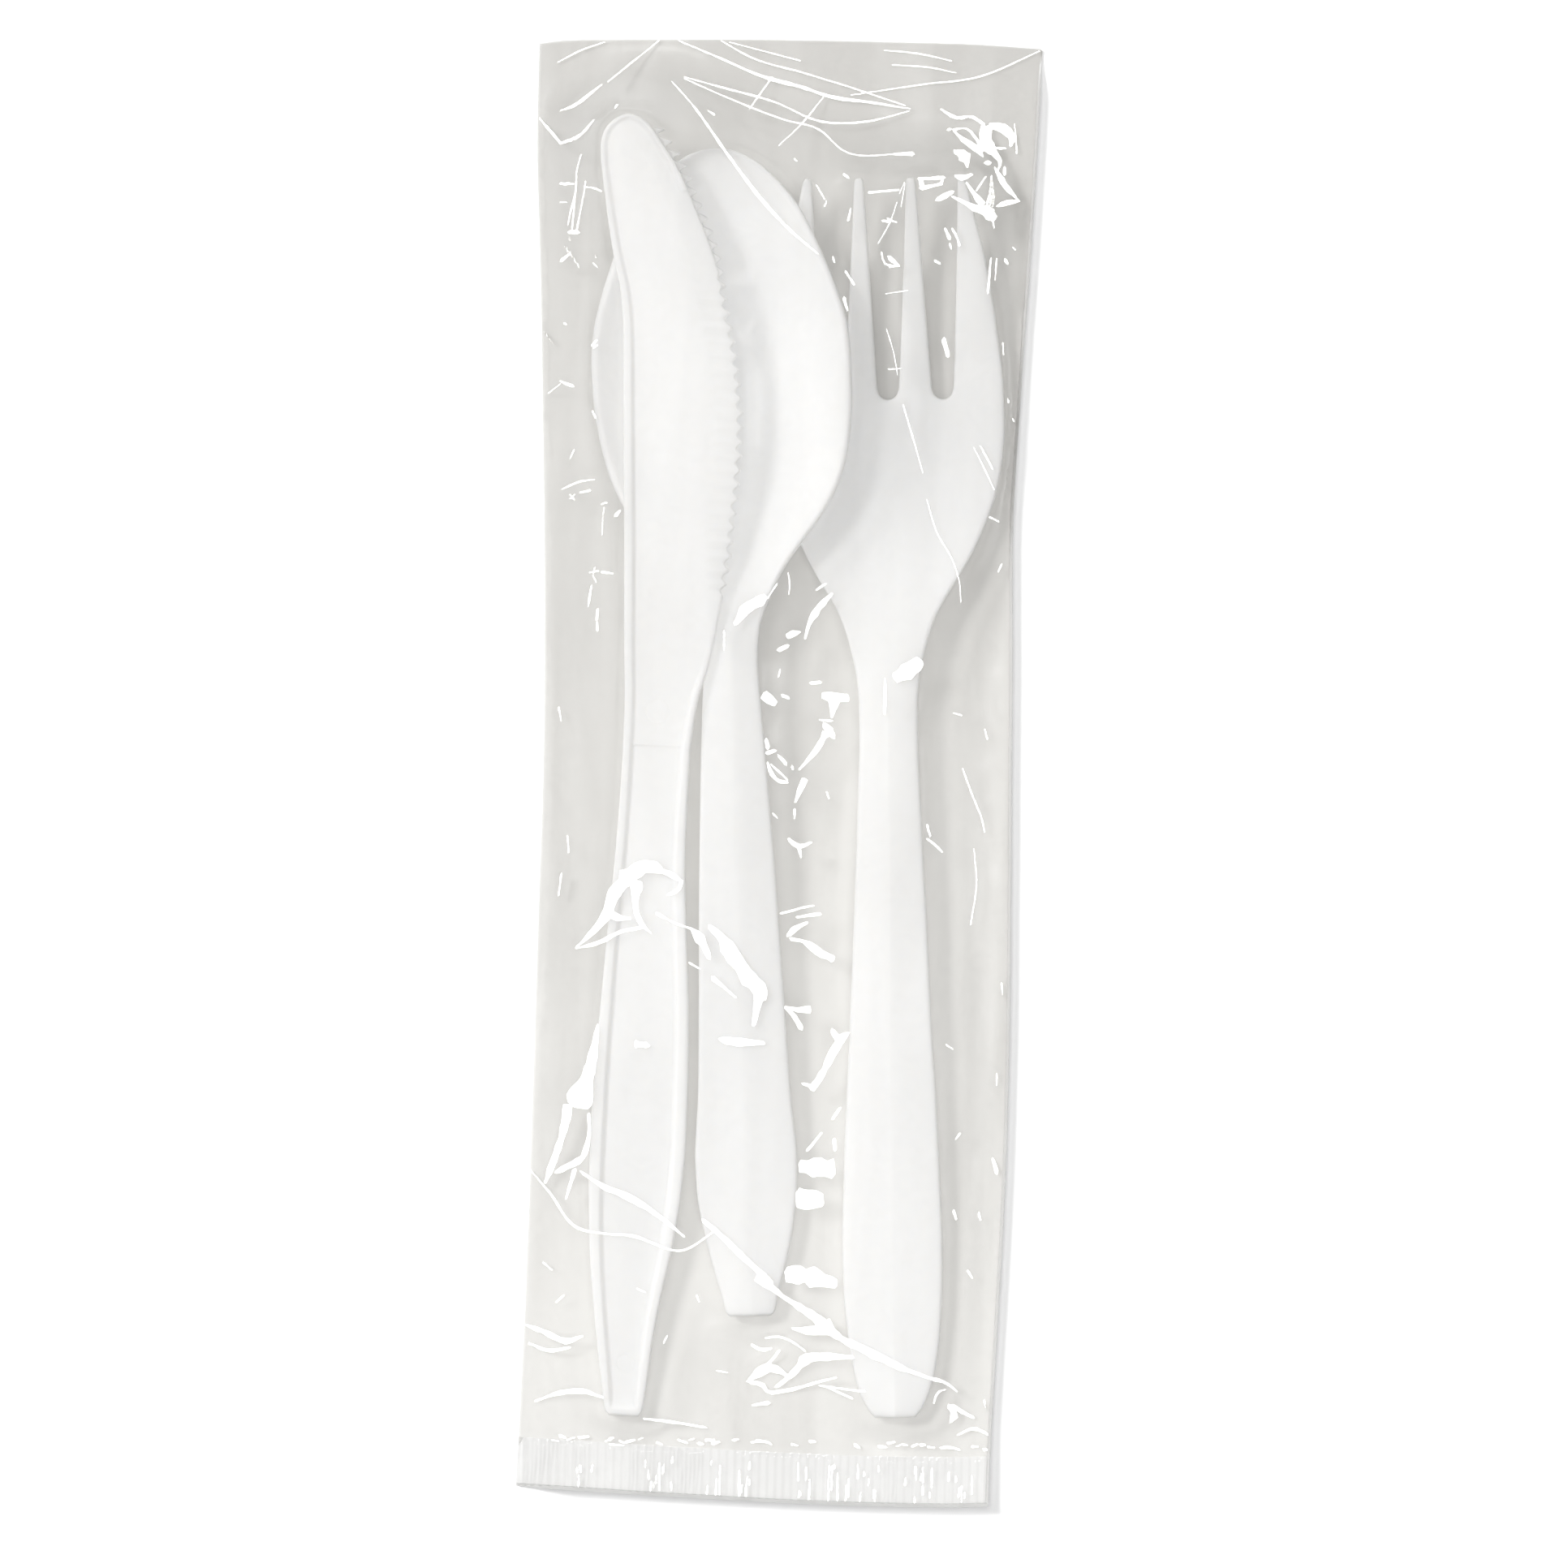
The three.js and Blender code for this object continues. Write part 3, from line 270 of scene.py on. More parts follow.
def knife_points():
    y = [0, .1, .25, .45, .7, 1.0, 1.4, 1.9, 2.5]
    y += list(np.arange(3, 5.1, .35)) + list(np.arange(5.2, 8.2, .13))
    y += list(np.arange(8.6, PANEL_END - .3, .62)) + [PANEL_END - .2, PANEL_END - .1, PANEL_END, PANEL_END + .1, PANEL_END + .2, PANEL_END + .35, 86, 86.6, 87.2, 87.7]
    y += list(np.arange(88.0, 91.3, .13)) + list(np.arange(91.5, TOOTHED[0] - .2, .5))
    y += list(np.arange(TOOTHED[0], TOOTHED[1], TOOTH_PITCH / 12))
    y += list(np.arange(TOOTHED[1] + .1, 163.4, .2)) + [163.5, 163.7, 163.9, 164.05, 164.2, 164.3, 164.4, 164.47, 164.53, 164.57, KNIFE_LENGTH]
    y = np.unique(np.round(np.array(y), 4))
    xl, outline_r = knife_left(y), knife_right(y)
    on = smooth(TOOTHED[0] - .3, TOOTHED[0] + 1.5, y) * (1 - smooth(TOOTHED[1] - .1, TOOTHED[1], y))
    inner = on * (1 - smooth(140, 149, y))  # teeth cut into the edge
    ledge = (0.95 * smooth(139, 151, y) + .35 * smooth(155, 160, y)) * on + 0.12 * on  # teeth standing out under the edge
    cut = notch(y)
    xr = outline_r - TOOTH_DEPTH * inner * cut
    xo = xr + 0.05 + ledge * (1 - 0.92 * cut)
    w = xr - xl
    # columns: fillet, rim, field, bevel and the edge
    k = np.minimum(1, w / 7.0)[:, None]
    left = np.array([0, .03, .09, .18, .3, .45, .62, .8, .95, 1.1, 1.25, 1.4, 1.55, 1.75])[None] * k
    right = np.array([1.9, 1.6, 1.3, 1.1, .9, .7, .5, .34, .2, .1, .035, 0])[None] * k
    n_mid = 40
    f = (np.arange(1, n_mid + 1) / (n_mid + 1))[None]
    a, b = left[:, -1:], w[:, None] - right[:, :1]
    x = xl[:, None] + np.hstack([left, a + (b - a) * f, w[:, None] - right])
    yy = np.repeat(y[:, None], x.shape[1], 1)
    z0 = knife_lift(y)[:, None]
    outline = np.vstack([np.c_[xl, y], np.c_[outline_r, y][::-1]])
    d = distance_to(np.c_[x.ravel(), yy.ravel()], outline).reshape(x.shape)
    d_left = distance_to(np.c_[x.ravel(), yy.ravel()], np.vstack([np.c_[xl, y], np.c_[outline_r, y][::-1][:60]]), closed=False).reshape(x.shape)
    d_left = np.where(yy < 150, np.minimum(d_left, x - xl[:, None]), d_left)
    rw_l = np.minimum(knife_rim_l(y), w * .42)[:, None]
    rw_r = np.minimum(knife_rim_r(y), w * .3)[:, None]
    rim_l = KNIFE_RIM * (1 - .3 * smooth(120, 160, y))[:, None] * (1 - smooth(rw_l - .5, rw_l, d_left))
    fade_r = (1 - smooth(88, 99, y))[:, None]
    dr = xr[:, None] - x
    rim_r = KNIFE_RIM * fade_r * (1 - smooth(rw_r - .5, rw_r, dr))
    butt = KNIFE_RIM * (1 - smooth(1.0, 1.5, yy))
    sink = PANEL_SINK * ((1 - smooth(PANEL_END - .12, PANEL_END + .12, y)) * smooth(1.6, 2.4, y))[:, None]
    rim = np.maximum(np.maximum(rim_l, rim_r), butt)
    z = z0 + KNIFE_WEB - sink * (1 - np.clip(rim / KNIFE_RIM, 0, 1)) + rim
    # ground edge: a faint slope from the bevel line to the teeth
    ground = (0.42 * smooth(99, 108, y) * (1 - smooth(160, 163, y)))[:, None]
    bev = mix(1.4, np.minimum(3.3, w * .42), smooth(100, 116, y))[:, None] * k
    z -= ground * np.clip(1 - dr / bev, 0, 1) ** 1.1
    # marks of the ejector pins
    for cx, cy, r in ((-.07, 89.6, 1.5), (0.0, 6.6, 1.2)):
        q = np.abs(np.hypot(x - cx, yy - cy) - r)
        z -= 0.05 * np.exp(-(q / .09) ** 2)
    z -= fillet(d, .3) * np.where(dr < 1.0, 1 - .75 * on[:, None], 1)
    z -= (fillet(dr, .12) * on[:, None])
    top = np.dstack([x, yy, z])
    # the tooth ledge under the edge
    zl = z0[:, 0] + KNIFE_WEB - ground[:, 0] - mix(.1, .5, smooth(139, 151, y))
    edge = []
    for t, dz in ((.0, 0), (.45, 0), (.8, .04), (.95, .1), (1, .2)):
        edge.append(np.c_[mix(xr + .03, xo, t), y, zl - dz])
    top = np.concatenate([top, np.array(edge).transpose(1, 0, 2)], axis=1)
    # underside: flat, its edges rounded, its cutting edge ground a little
    fb = np.array([0, .03, .1, .2, .32])[None] * k
    wo = (xo - xl)[:, None]
    fr = np.array([.32, .2, .1, .03, 0])[None] * k
    xb = xl[:, None] + np.hstack([fb, wo * np.array([[.2, .35, .5, .65, .8]]), wo - fr])
    yb = np.repeat(y[:, None], xb.shape[1], 1)
    outline_b = np.vstack([np.c_[xl, y], np.c_[xo, y][::-1]])
    db = distance_to(np.c_[xb.ravel(), yb.ravel()], outline_b).reshape(xb.shape)
    zb = z0 + fillet(db, .3) * np.where((xo[:, None] - xb < 1.0), 1 - .5 * on[:, None], 1)
    zb += (0.25 * smooth(99, 106, y) * (1 - smooth(158, 162.5, y)))[:, None] * np.clip(1 - (xo[:, None] - xb) / 3, 0, 1)
    return top, np.dstack([xb, yb, zb])


def build(name, strips_top, strips_bottom, place):
    pts, faces = closed_strips(strips_top, strips_bottom)
    return mesh_object(name, lay(pts, **place), faces)


kt, kb = knife_points()
knife = build("knife_moulding", [kt], [kb], dict(x=-16.64, y=-82.52, turn=-1.33))

# ------------------------------------------------------------------ spoon

SPOON_LENGTH, BOWL_DEPTH = 148.0, 5.9
spoon_left, spoon_right = Curve(SPOON_OUTLINE, 1), Curve(SPOON_OUTLINE, 2)
spoon_line = Curve([[0, 2.1], [20, 3.0], [45, 4.55], [65, 5.75], [80, 6.4], [88, 6.6], [95, 6.75], [105, 7.15], [118, 7.5], [135, 7.55], [148, 7.35]])


def spoon_surface(y, u):
    """Middle of the wall at station y and place u, -1 at the left edge and 1 at the right."""
    xl, xr = spoon_left(y), spoon_right(y)
    half, middle = (xr - xl) / 2, (xr + xl) / 2
    bowl = smooth(86, 97, y)
    depth = BOWL_DEPTH * bowl * np.power(np.clip(half / 16.3, 0, 1), 1.15) * (1 - .1 * smooth(120, 92, y))
    gable = .6 * (1 - smooth(82, 93, y))
    ridge = np.sqrt(u * u + .012) - .11
    z = spoon_line(y) - depth * (1 - np.power(np.abs(u), 2.3)) - gable * ridge
    return middle + u * half, z


def spoon_points():
    y = [0, .05, .12, .22, .35, .55, .8, 1.1, 1.5, 2] + list(np.arange(2.6, 84, .85)) + list(np.arange(84.4, 100, .42))
    y += list(np.arange(100.5, 140, .55)) + list(np.arange(140.3, 146.5, .3)) + [146.7, 146.9, 147.1, 147.3, 147.45, 147.6, 147.7, 147.8, 147.88, 147.94, SPOON_LENGTH]
    y = np.array(y)[:, None]
    e = np.array([0, .004, .011, .02, .032, .048])
    core = np.linspace(.075, .925, 37)
    s = np.concatenate([e, core, 1 - e[::-1]])
    u = np.repeat((2 * s - 1)[None], len(y), 0)
    yy = np.repeat(y, u.shape[1], 1)
    x, z = spoon_surface(yy, u)
    ex = 1e-3
    x2, z2 = spoon_surface(yy, u + ex)
    nx, nz = -(z2 - z), (x2 - x)
    l = np.hypot(nx, nz)
    nx, nz = nx / l, nz / l
    _, za = spoon_surface(yy + .01, u)
    x_a, _ = spoon_surface(yy + .01, u)
    outline = np.vstack([np.c_[spoon_left(y[:, 0]), y[:, 0]], np.c_[spoon_right(y[:, 0]), y[:, 0]][::-1]])
    d = distance_to(np.c_[x.ravel(), yy.ravel()], outline).reshape(x.shape)
    half_t = (WALL / 2) * (1 - .2 * smooth(140, 148, yy))
    drop = fillet(d, .42)
    top = np.dstack([x + nx * (half_t - drop), yy, z + nz * (half_t - drop)])
    bottom = np.dstack([x - nx * (half_t - drop), yy, z - nz * (half_t - drop)])
    return top, bottom


st, sb = spoon_points()
spoon = build("spoon_moulding", [st], [sb], dict(x=-0.8, y=-69.42, turn=3.286))

# ------------------------------------------------------------------ fork

FORK_LENGTH, SLOT_END, TIP_SPACING, TIP_WIDTH, TINE_RISE, FORK_DISH = 157.3, 129.4, 6.55, 1.15, 4.4, 0.7
SLOT_R = 1.28
fork_left, fork_right = Curve(FORK_OUTLINE, 1), Curve(FORK_OUTLINE, 2)
fork_line = Curve([[0, 2.6], [15, 2.85], [40, 3.75], [65, 4.7], [82, 5.1], [90, 5.0], [98, 4.3], [107, 3.0], [116, 2.05], [124, 1.75], [132, 1.8], [139, 2.25], [146, 3.5], [151, 4.75], [157.3, 1.75 + TINE_RISE]])


def slot_centre(i, y):
    t = (y - SLOT_END) / (FORK_LENGTH - SLOT_END)
    return i * mix(7.0, TIP_SPACING, np.maximum(t, -.2)) + .15


def strip_line(i, y):
    """Line between two strips of the fork: quarters of the handle, running into the slots' centres."""
    xl, xr = fork_left(y), fork_right(y)
    return mix(mix(xl, xr, (i + 2) / 4), slot_centre(i, y), smooth(104, 122, y))


def slot_half(y):
    t = np.clip((y - SLOT_END) / (FORK_LENGTH - SLOT_END), 0, 1.2)
    open_ = mix(SLOT_R, (TIP_SPACING - TIP_WIDTH) / 2, np.power(t, .92))
    q = np.clip(SLOT_END + SLOT_R - y, 0, SLOT_R)
    return np.where(y < SLOT_END, 0, np.where(y < SLOT_END + SLOT_R, np.sqrt(np.maximum(SLOT_R ** 2 - q ** 2, 0)), open_))


def fork_surface(x, y):
    xl, xr = fork_left(y), fork_right(y)
    half, middle = (xr - xl) / 2, (xr + xl) / 2
    u = (x - middle) / half
    head = smooth(92, 108, y)
    dish = FORK_DISH * head * (1 - .7 * smooth(126, 150, y))
    gable = .65 * (1 - smooth(86, 101, y))
    ridge = np.sqrt(u * u + .0016) - .04
    return fork_line(y) + dish * u * u - gable * ridge


def fork_points():
    y = [0, .05, .12, .22, .35, .55, .8, 1.1, 1.5, 2] + list(np.arange(2.6, 84, .85)) + list(np.arange(84.4, 106, .5))
    y += list(np.arange(106.4, SLOT_END - 1, .62)) + [SLOT_END - .9, SLOT_END - .6, SLOT_END - .4, SLOT_END - .25, SLOT_END - .12, SLOT_END - .04]
    y += list(SLOT_END + SLOT_R * (1 - np.cos(np.linspace(0, math.pi / 2, 12)))) + list(np.arange(SLOT_END + SLOT_R + .3, 155, .6))
    y += list(np.arange(155.1, 156.6, .25)) + [156.7, 156.85, 157, 157.1, 157.18, 157.24, FORK_LENGTH]
    y = np.array(y)
    xl, xr = fork_left(y), fork_right(y)
    # each tine runs to a narrow rounded tip
    tip = np.sqrt(np.maximum(1 - np.clip((y - (FORK_LENGTH - .6)) / .6, 0, 1) ** 2, 0))
    bounds = []
    for n in range(4):
        a = xl if n == 0 else strip_line(n - 2, y) + slot_half(y)
        b = xr if n == 3 else strip_line(n - 1, y) - slot_half(y)
        free = y > SLOT_END
        m = (a + b) / 2
        a = np.where(free, m + (a - m) * mix(1, .12 + .88 * tip, smooth(156.6, 156.8, y)), a)
        b = np.where(free, m + (b - m) * mix(1, .12 + .88 * tip, smooth(156.6, 156.8, y)), b)
        bounds.append((a, b))
    loops = []
    outline = [np.c_[bounds[0][0], y]]
    for n in range(4):
        if n:
            up = y >= SLOT_END
            outline.append(np.c_[bounds[n][0], y][up])
        seg = np.c_[bounds[n][1], y]
        outline.append((seg if n == 3 else seg[y >= SLOT_END])[::-1])
    outline = np.vstack(outline)
    e = np.array([0, .02, .055, .1, .16, .24])
    top, bottom = [], []
    for n, (a, b) in enumerate(bounds):
        s = np.concatenate([e, [.33, .42, .5, .58, .67], 1 - e[::-1]])
        if n == 1:  # a column close beside the ridge of the handle
            s = np.concatenate([e, [.36, .48, .6, .7, .8, .88, .94, .97, .985, 1]])
        if n == 2:
            s = np.concatenate([[0, .015, .03, .06, .12, .2, .3, .4, .52, .64], 1 - e[::-1]])
        x = a[:, None] + (b - a)[:, None] * s[None]
        yy = np.repeat(y[:, None], len(s), 1)
        # in the handle the middle strips meet on the ridge, x = 0
        z = fork_surface(x, yy)
        nx = -(fork_surface(x + .01, yy) - z) / .01
        l = np.sqrt(1 + nx * nx)
        d = distance_to(np.c_[x.ravel(), yy.ravel()], outline).reshape(x.shape)
        half_t = (WALL / 2) * (1 - .3 * smooth(140, 157, yy))
        drop = fillet(d, .36)
        h = (half_t - drop * .95)
        top.append(np.dstack([x, yy, z + h]))
        bottom.append(np.dstack([x, yy, z - h]))
    return top, bottom


ft, fb_ = fork_points()
FORK_PLACE = dict(x=17.99, y=-81.81, turn=1.99, roll=-3.5)
low = min(lay(s.reshape(-1, 3), **FORK_PLACE)[:, 2].min() for s in fb_)
fork = build("fork_moulding", ft, fb_, dict(FORK_PLACE, z=.35 - low))

# ------------------------------------------------------------------ lights the creases face

rng = np.random.default_rng(7)

# azimuth from +X, angle from the vertical, distance in m, (width, height) in m, radiance
LIGHTS = [
    ("key", 158, 44, 2.0, (.24, .24), 9.0),
    ("back", 92, 38, 2.0, (.24, .24), 9.0),
    ("right", 8, 38, 2.0, (.24, .24), 9.0),
    ("front", 268, 38, 2.0, (.24, .24), 9.0),
]
SOFTBOXES = [("softbox", 150, 42, 2.0, (.46, .46), 40.5), ("overhead", 0, .5, 2.0, (1.2, 1.2), 4.9)]


def light_direction(k):
    a, p = math.radians(LIGHTS[k][1]), math.radians(LIGHTS[k][2])
    return np.array([math.cos(a) * math.sin(p), math.sin(a) * math.sin(p), math.cos(p)])


def crease_gradient(light, x, y):
    """Slope of a crease's face that looks half-way between a light and the eye over the pack."""
    out = np.empty((len(x), 2))
    dirs = np.array([light_direction(k) for k in range(len(LIGHTS))])
    v = np.c_[(1.609 - x) / 900, (-1.696 - y) / 900, np.ones(len(x))]
    v /= np.linalg.norm(v, axis=1)[:, None]
    n = v + dirs[light]
    return -n[:, :2] / n[:, 2:3]


CREASE_LINES = [
    ([[-14.36,92.59], [-8.92,90.43], [-3.39,88.19], [1.71,86.99], [5.05,85.94], [10.13,85.37], [15.42,84.68]], [0.21, 0.41, 0.62, 0.72, 0.72, 0.62, 0.21]),
    ([[-8.99,92.73], [-4.79,90.57], [1.66,88.88], [7.81,87.18], [14.69,85.08]], [0.21, 0.36, 0.36, 0.31, 0.21]),
    ([[-7.85,92.56], [1.21,90.42]], [0.21, 0.27]),
    ([[-13.48,87.77], [-7.87,86.38], [-1.85,84.92], [4.2,82.6], [9.67,82.79], [15.22,84.36]], [0.21, 0.36, 0.31, 0.41, 0.36, 0.21]),
    ([[-13.48,87.56], [-7.84,85.18], [-0.45,82.6], [3.71,81.6], [7.07,78.78], [15.52,78.71]], [0.21, 0.31, 0.36, 0.31, 0.27, 0.25]),
    ([[-2.25,88.23], [-3.64,86.14], [-5.11,83.77]], [0.21, 0.36, 0.21]),
    ([[4.32,85.91], [1.83,82.47], [-1.17,79.12]], [0.21, 0.31, 0.21]),
    ([[-15.0,87.05], [-12.42,84.13], [-7.58,77.46], [-2.92,71.66], [0.87,67.87], [4.12,65.29]], [0.23, 0.33, 0.57, 0.62, 0.57, 0.21]),
    ([[7.83,86.24], [16.99,87.85], [23.89,88.96], [31.65,92.48]], [0.21, 0.29, 0.33, 0.23]),
    ([[10.38,73.42], [14.06,73.81]], [0.47, 0.41]),
    ([[11.92,92.05], [16.06,91.75], [20.43,90.94]], [0.21, 0.36, 0.21]),
    ([[13.0,90.22], [18.18,89.95], [21.09,89.4]], [0.21, 0.31, 0.21]),
    ([[-29.68,89.38], [-26.73,91.01], [-23.76,92.13]], [0.21, 0.35, 0.21]),
    ([[-16.84,92.52], [-20.05,89.66], [-23.14,86.82]], [0.21, 0.31, 0.21]),
    ([[-23.94,86.46], [-25.64,84.93], [-27.17,83.69], [-29.05,83.05]], [0.31, 0.72, 0.62, 0.21]),
    ([[-31.76,82.2], [-30.23,80.38], [-28.88,78.78]], [0.31, 0.62, 0.52]),
    ([[-28.88,78.78], [-26.43,79.45], [-24.59,81.41]], [0.52, 0.62, 0.21]),
    ([[12.13,65.9], [12.58,64.48], [14.24,64.24]], [0.31, 0.52, 0.31]),
    ([[20.37,55.13], [20.94,53.2]], [1.14, 0.93]),
    ([[13.91,72.19], [13.06,69.62], [11.69,67.01]], [0.21, 0.23, 0.21]),
    ([[12.84,70.13], [13.88,69.75]], [0.41, 0.31]),
    ([[7.66,63.17], [8.73,61.68]], [0.62, 0.52]),
    ([[7.54,59.74], [7.99,58.32]], [0.62, 0.41]),
    ([[3.68,74.11], [4.75,72.37]], [0.25, 0.31]),
    ([[12.78,60.67], [15.56,61.22]], [0.13, 0.17]),
    ([[26.77,65.67], [26.63,62.87]], [0.27, 0.23]),
    ([[13.0,56.25], [13.89,53.72], [14.6,50.47]], [0.16, 0.2, 0.16]),
    ([[13.45,51.12], [14.99,51.3]], [0.31, 0.21]),
    ([[15.39,46.7], [16.79,42.55], [18.12,38.29]], [0.36, 0.31, 0.21]),
    ([[-4.98,18.42], [-3.9,20.09], [-2.69,20.95], [-1.28,21.91]], [0.72, 1.55, 1.55, 0.83]),
    ([[0.01,23.49], [-1.07,21.71]], [0.25, 0.21]),
    ([[3.03,-4.95], [3.06,-5.98]], [0.35, 0.31]),
    ([[2.41,-8.67], [3.67,-9.56], [5.2,-9.01]], [0.41, 0.72, 0.41]),
    ([[3.67,-9.56], [4.02,-10.89]], [0.62, 0.31]),
    ([[15.33,12.04], [16.85,12.9], [18.45,14.39]], [1.76, 2.27, 1.24]),
    ([[14.03,11.9], [14.09,9.74], [14.11,7.48]], [0.31, 0.52, 0.31]),
    ([[-6.48,17.34], [-6.42,15.1]], [0.31, 0.25]),
    ([[19.89,-6.45], [20.29,-7.78]], [0.31, 0.31]),
    ([[19.94,-8.2], [20.95,-8.9], [21.91,-9.8]], [0.31, 0.41, 0.25]),
    ([[25.97,-9.3], [26.4,-13.83], [25.81,-18.9]], [0.21, 0.25, 0.21]),
    ([[9.82,-42.59], [8.93,-43.96]], [0.41, 0.41]),
    ([[7.53,-45.86], [5.84,-48.06]], [0.31, 0.41]),
    ([[9.2,-46.64], [9.34,-47.87]], [0.72, 0.52]),
    ([[4.97,-50.14], [9.1,-50.46]], [2.07, 2.48]),
    ([[4.77,-54.17], [7.87,-54.53]], [2.48, 2.07]),
    ([[-29.42,-51.64], [-26.72,-54.51], [-23.35,-58.53], [-19.6,-59.29], [-16.41,-59.43], [-9.46,-61.1], [-5.82,-58.76]], [0.21, 0.31, 0.41, 0.35, 0.41, 0.35, 0.21]),
    ([[29.43,-48.7], [30.0,-50.35]], [0.52, 0.62]),
    ([[24.6,-55.33], [24.94,-56.35]], [0.52, 0.41]),
    ([[27.84,-55.63], [28.08,-56.46]], [0.41, 0.31]),
    ([[24.24,0.87], [25.8,-3.01], [26.91,-5.56], [27.27,-7.1]], [0.21, 0.25, 0.23, 0.21]),
    ([[-7.2,-57.23], [-5.1,-58.95], [-1.93,-61.85], [1.66,-64.98]], [0.52, 0.83, 0.93, 0.83]),
    ([[3.59,-63.93], [6.79,-64.18], [9.91,-65.03]], [2.07, 2.27, 1.45]),
    ([[-29.51,-71.39], [-27.3,-72.14], [-23.93,-73.2], [-22.07,-72.46]], [0.41, 0.83, 0.93, 0.31]),
    ([[-28.93,-73.76], [-26.4,-74.58], [-23.71,-74.02]], [0.31, 0.62, 0.31]),
    ([[-27.9,-81.07], [-24.81,-79.9], [-21.69,-79.52], [-19.28,-80.2]], [0.31, 0.72, 0.83, 0.31]),
    ([[-13.96,-82.76], [-10.26,-83.23], [-6.11,-83.9]], [0.31, 0.47, 0.31]),
    ([[25.94,-83.95], [27.99,-83.08], [29.87,-83.86]], [0.31, 0.52, 0.31]),
    ([[-27.29,7.23], [-26.95,5.61]], [0.27, 0.19]),
    ([[-26.13,39.94], [-26.64,38.84]], [0.27, 0.19]),
    ([[27.84,54.92], [27.99,53.49]], [0.31, 0.22]),
    ([[29.41,45.46], [29.92,44.7]], [0.31, 0.22]),
    ([[26.8,32.83], [27.93,32.3]], [0.27, 0.19]),
    ([[28.53,26.97], [28.12,26.01]], [0.27, 0.19]),
    ([[26.96,5.88], [27.33,4.7]], [0.27, 0.19]),
    ([[22.92,7.9], [23.93,7.62]], [0.25, 0.17]),
    ([[-25.72,-9.04], [-25.51,-11.09]], [0.31, 0.22]),
    ([[-26.38,-13.92], [-26.67,-16.59]], [0.35, 0.25]),
    ([[29.94,-26.38], [30.27,-28.0]], [0.31, 0.22]),
    ([[29.68,-37.85], [29.68,-39.29]], [0.27, 0.19]),
    ([[23.08,-34.22], [23.95,-34.79]], [0.25, 0.17]),
    ([[25.13,-45.46], [24.6,-46.21]], [0.27, 0.19]),
    ([[26.62,-62.95], [27.2,-63.82]], [0.31, 0.22]),
    ([[-27.36,-63.39], [-26.22,-64.26]], [0.31, 0.22]),
    ([[-24.66,-67.43], [-25.57,-68.32]], [0.31, 0.22]),
    ([[-15.26,-66.23], [-14.3,-66.6]], [0.25, 0.17]),
    ([[-7.72,-66.92], [-7.4,-67.69]], [0.27, 0.19]),
    ([[-11.34,-72.09], [-11.74,-73.03]], [0.25, 0.17]),
    ([[-4.85,-76.57], [-3.63,-76.8]], [0.27, 0.19]),
    ([[-18.25,-86.31], [-16.6,-86.43]], [0.31, 0.22]),
    ([[0.33,-5.48], [0.84,-5.98]], [0.31, 0.22]),
    ([[7.04,-2.61], [7.36,-3.37]], [0.27, 0.19]),
    ([[0.7,12.65], [0.54,11.85]], [0.27, 0.19]),
    ([[-25.63,-86.0], [-24.88,-86.07]], [0.33, 0.23]),
    ([[-24.6,-85.45], [-23.97,-85.67]], [0.5, 0.35]),
    ([[-23.74,-85.93], [-22.89,-85.6]], [0.3, 0.21]),
    ([[-22.22,-85.56], [-21.09,-85.41]], [0.49, 0.34]),
    ([[-18.85,-85.95], [-18.19,-85.72]], [0.31, 0.22]),
    ([[-18.33,-85.57], [-17.91,-85.47]], [0.44, 0.31]),
    ([[-17.07,-85.89], [-16.43,-86.09]], [0.39, 0.27]),
    ([[-16.13,-85.98], [-15.18,-85.66]], [0.48, 0.33]),
    ([[-14.59,-85.59], [-14.17,-85.38]], [0.28, 0.2]),
    ([[-12.3,-85.95], [-11.63,-86.19]], [0.4, 0.28]),
    ([[-9.55,-85.57], [-8.46,-85.9]], [0.35, 0.25]),
    ([[-8.17,-85.54], [-7.63,-85.33]], [0.29, 0.2]),
    ([[-6.97,-85.96], [-6.52,-86.03]], [0.51, 0.36]),
    ([[-6.07,-85.49], [-5.06,-85.46]], [0.38, 0.27]),
    ([[-5.18,-85.9], [-4.41,-85.67]], [0.48, 0.33]),
    ([[-2.54,-85.39], [-2.03,-85.28]], [0.48, 0.33]),
    ([[-0.23,-85.59], [0.71,-85.47]], [0.39, 0.27]),
    ([[0.51,-85.4], [1.64,-85.51]], [0.51, 0.35]),
    ([[1.66,-85.51], [2.28,-85.81]], [0.46, 0.32]),
    ([[4.87,-85.72], [5.64,-85.89]], [0.46, 0.32]),
    ([[7.19,-85.28], [7.78,-85.29]], [0.44, 0.3]),
    ([[12.91,-85.55], [13.45,-85.91]], [0.48, 0.33]),
    ([[15.96,-85.62], [16.83,-85.74]], [0.46, 0.32]),
    ([[17.13,-85.2], [17.86,-85.02]], [0.43, 0.3]),
    ([[18.22,-85.58], [18.96,-85.27]], [0.32, 0.23]),
    ([[18.96,-85.36], [19.52,-85.38]], [0.28, 0.19]),
    ([[20.22,-85.56], [20.79,-85.22]], [0.49, 0.35]),
    ([[21.32,-85.34], [21.82,-85.29]], [0.48, 0.33]),
    ([[22.2,-85.56], [23.01,-85.65]], [0.35, 0.25]),
    ([[23.87,-85.68], [24.87,-85.62]], [0.43, 0.3]),
    ([[24.46,-85.54], [25.57,-85.65]], [0.51, 0.36]),
    ([[25.69,-85.72], [26.19,-85.85]], [0.41, 0.29]),
    ([[27.89,-85.43], [28.51,-85.38]], [0.51, 0.36]),
    ([[29.36,-85.72], [29.96,-85.75]], [0.51, 0.36]),
]
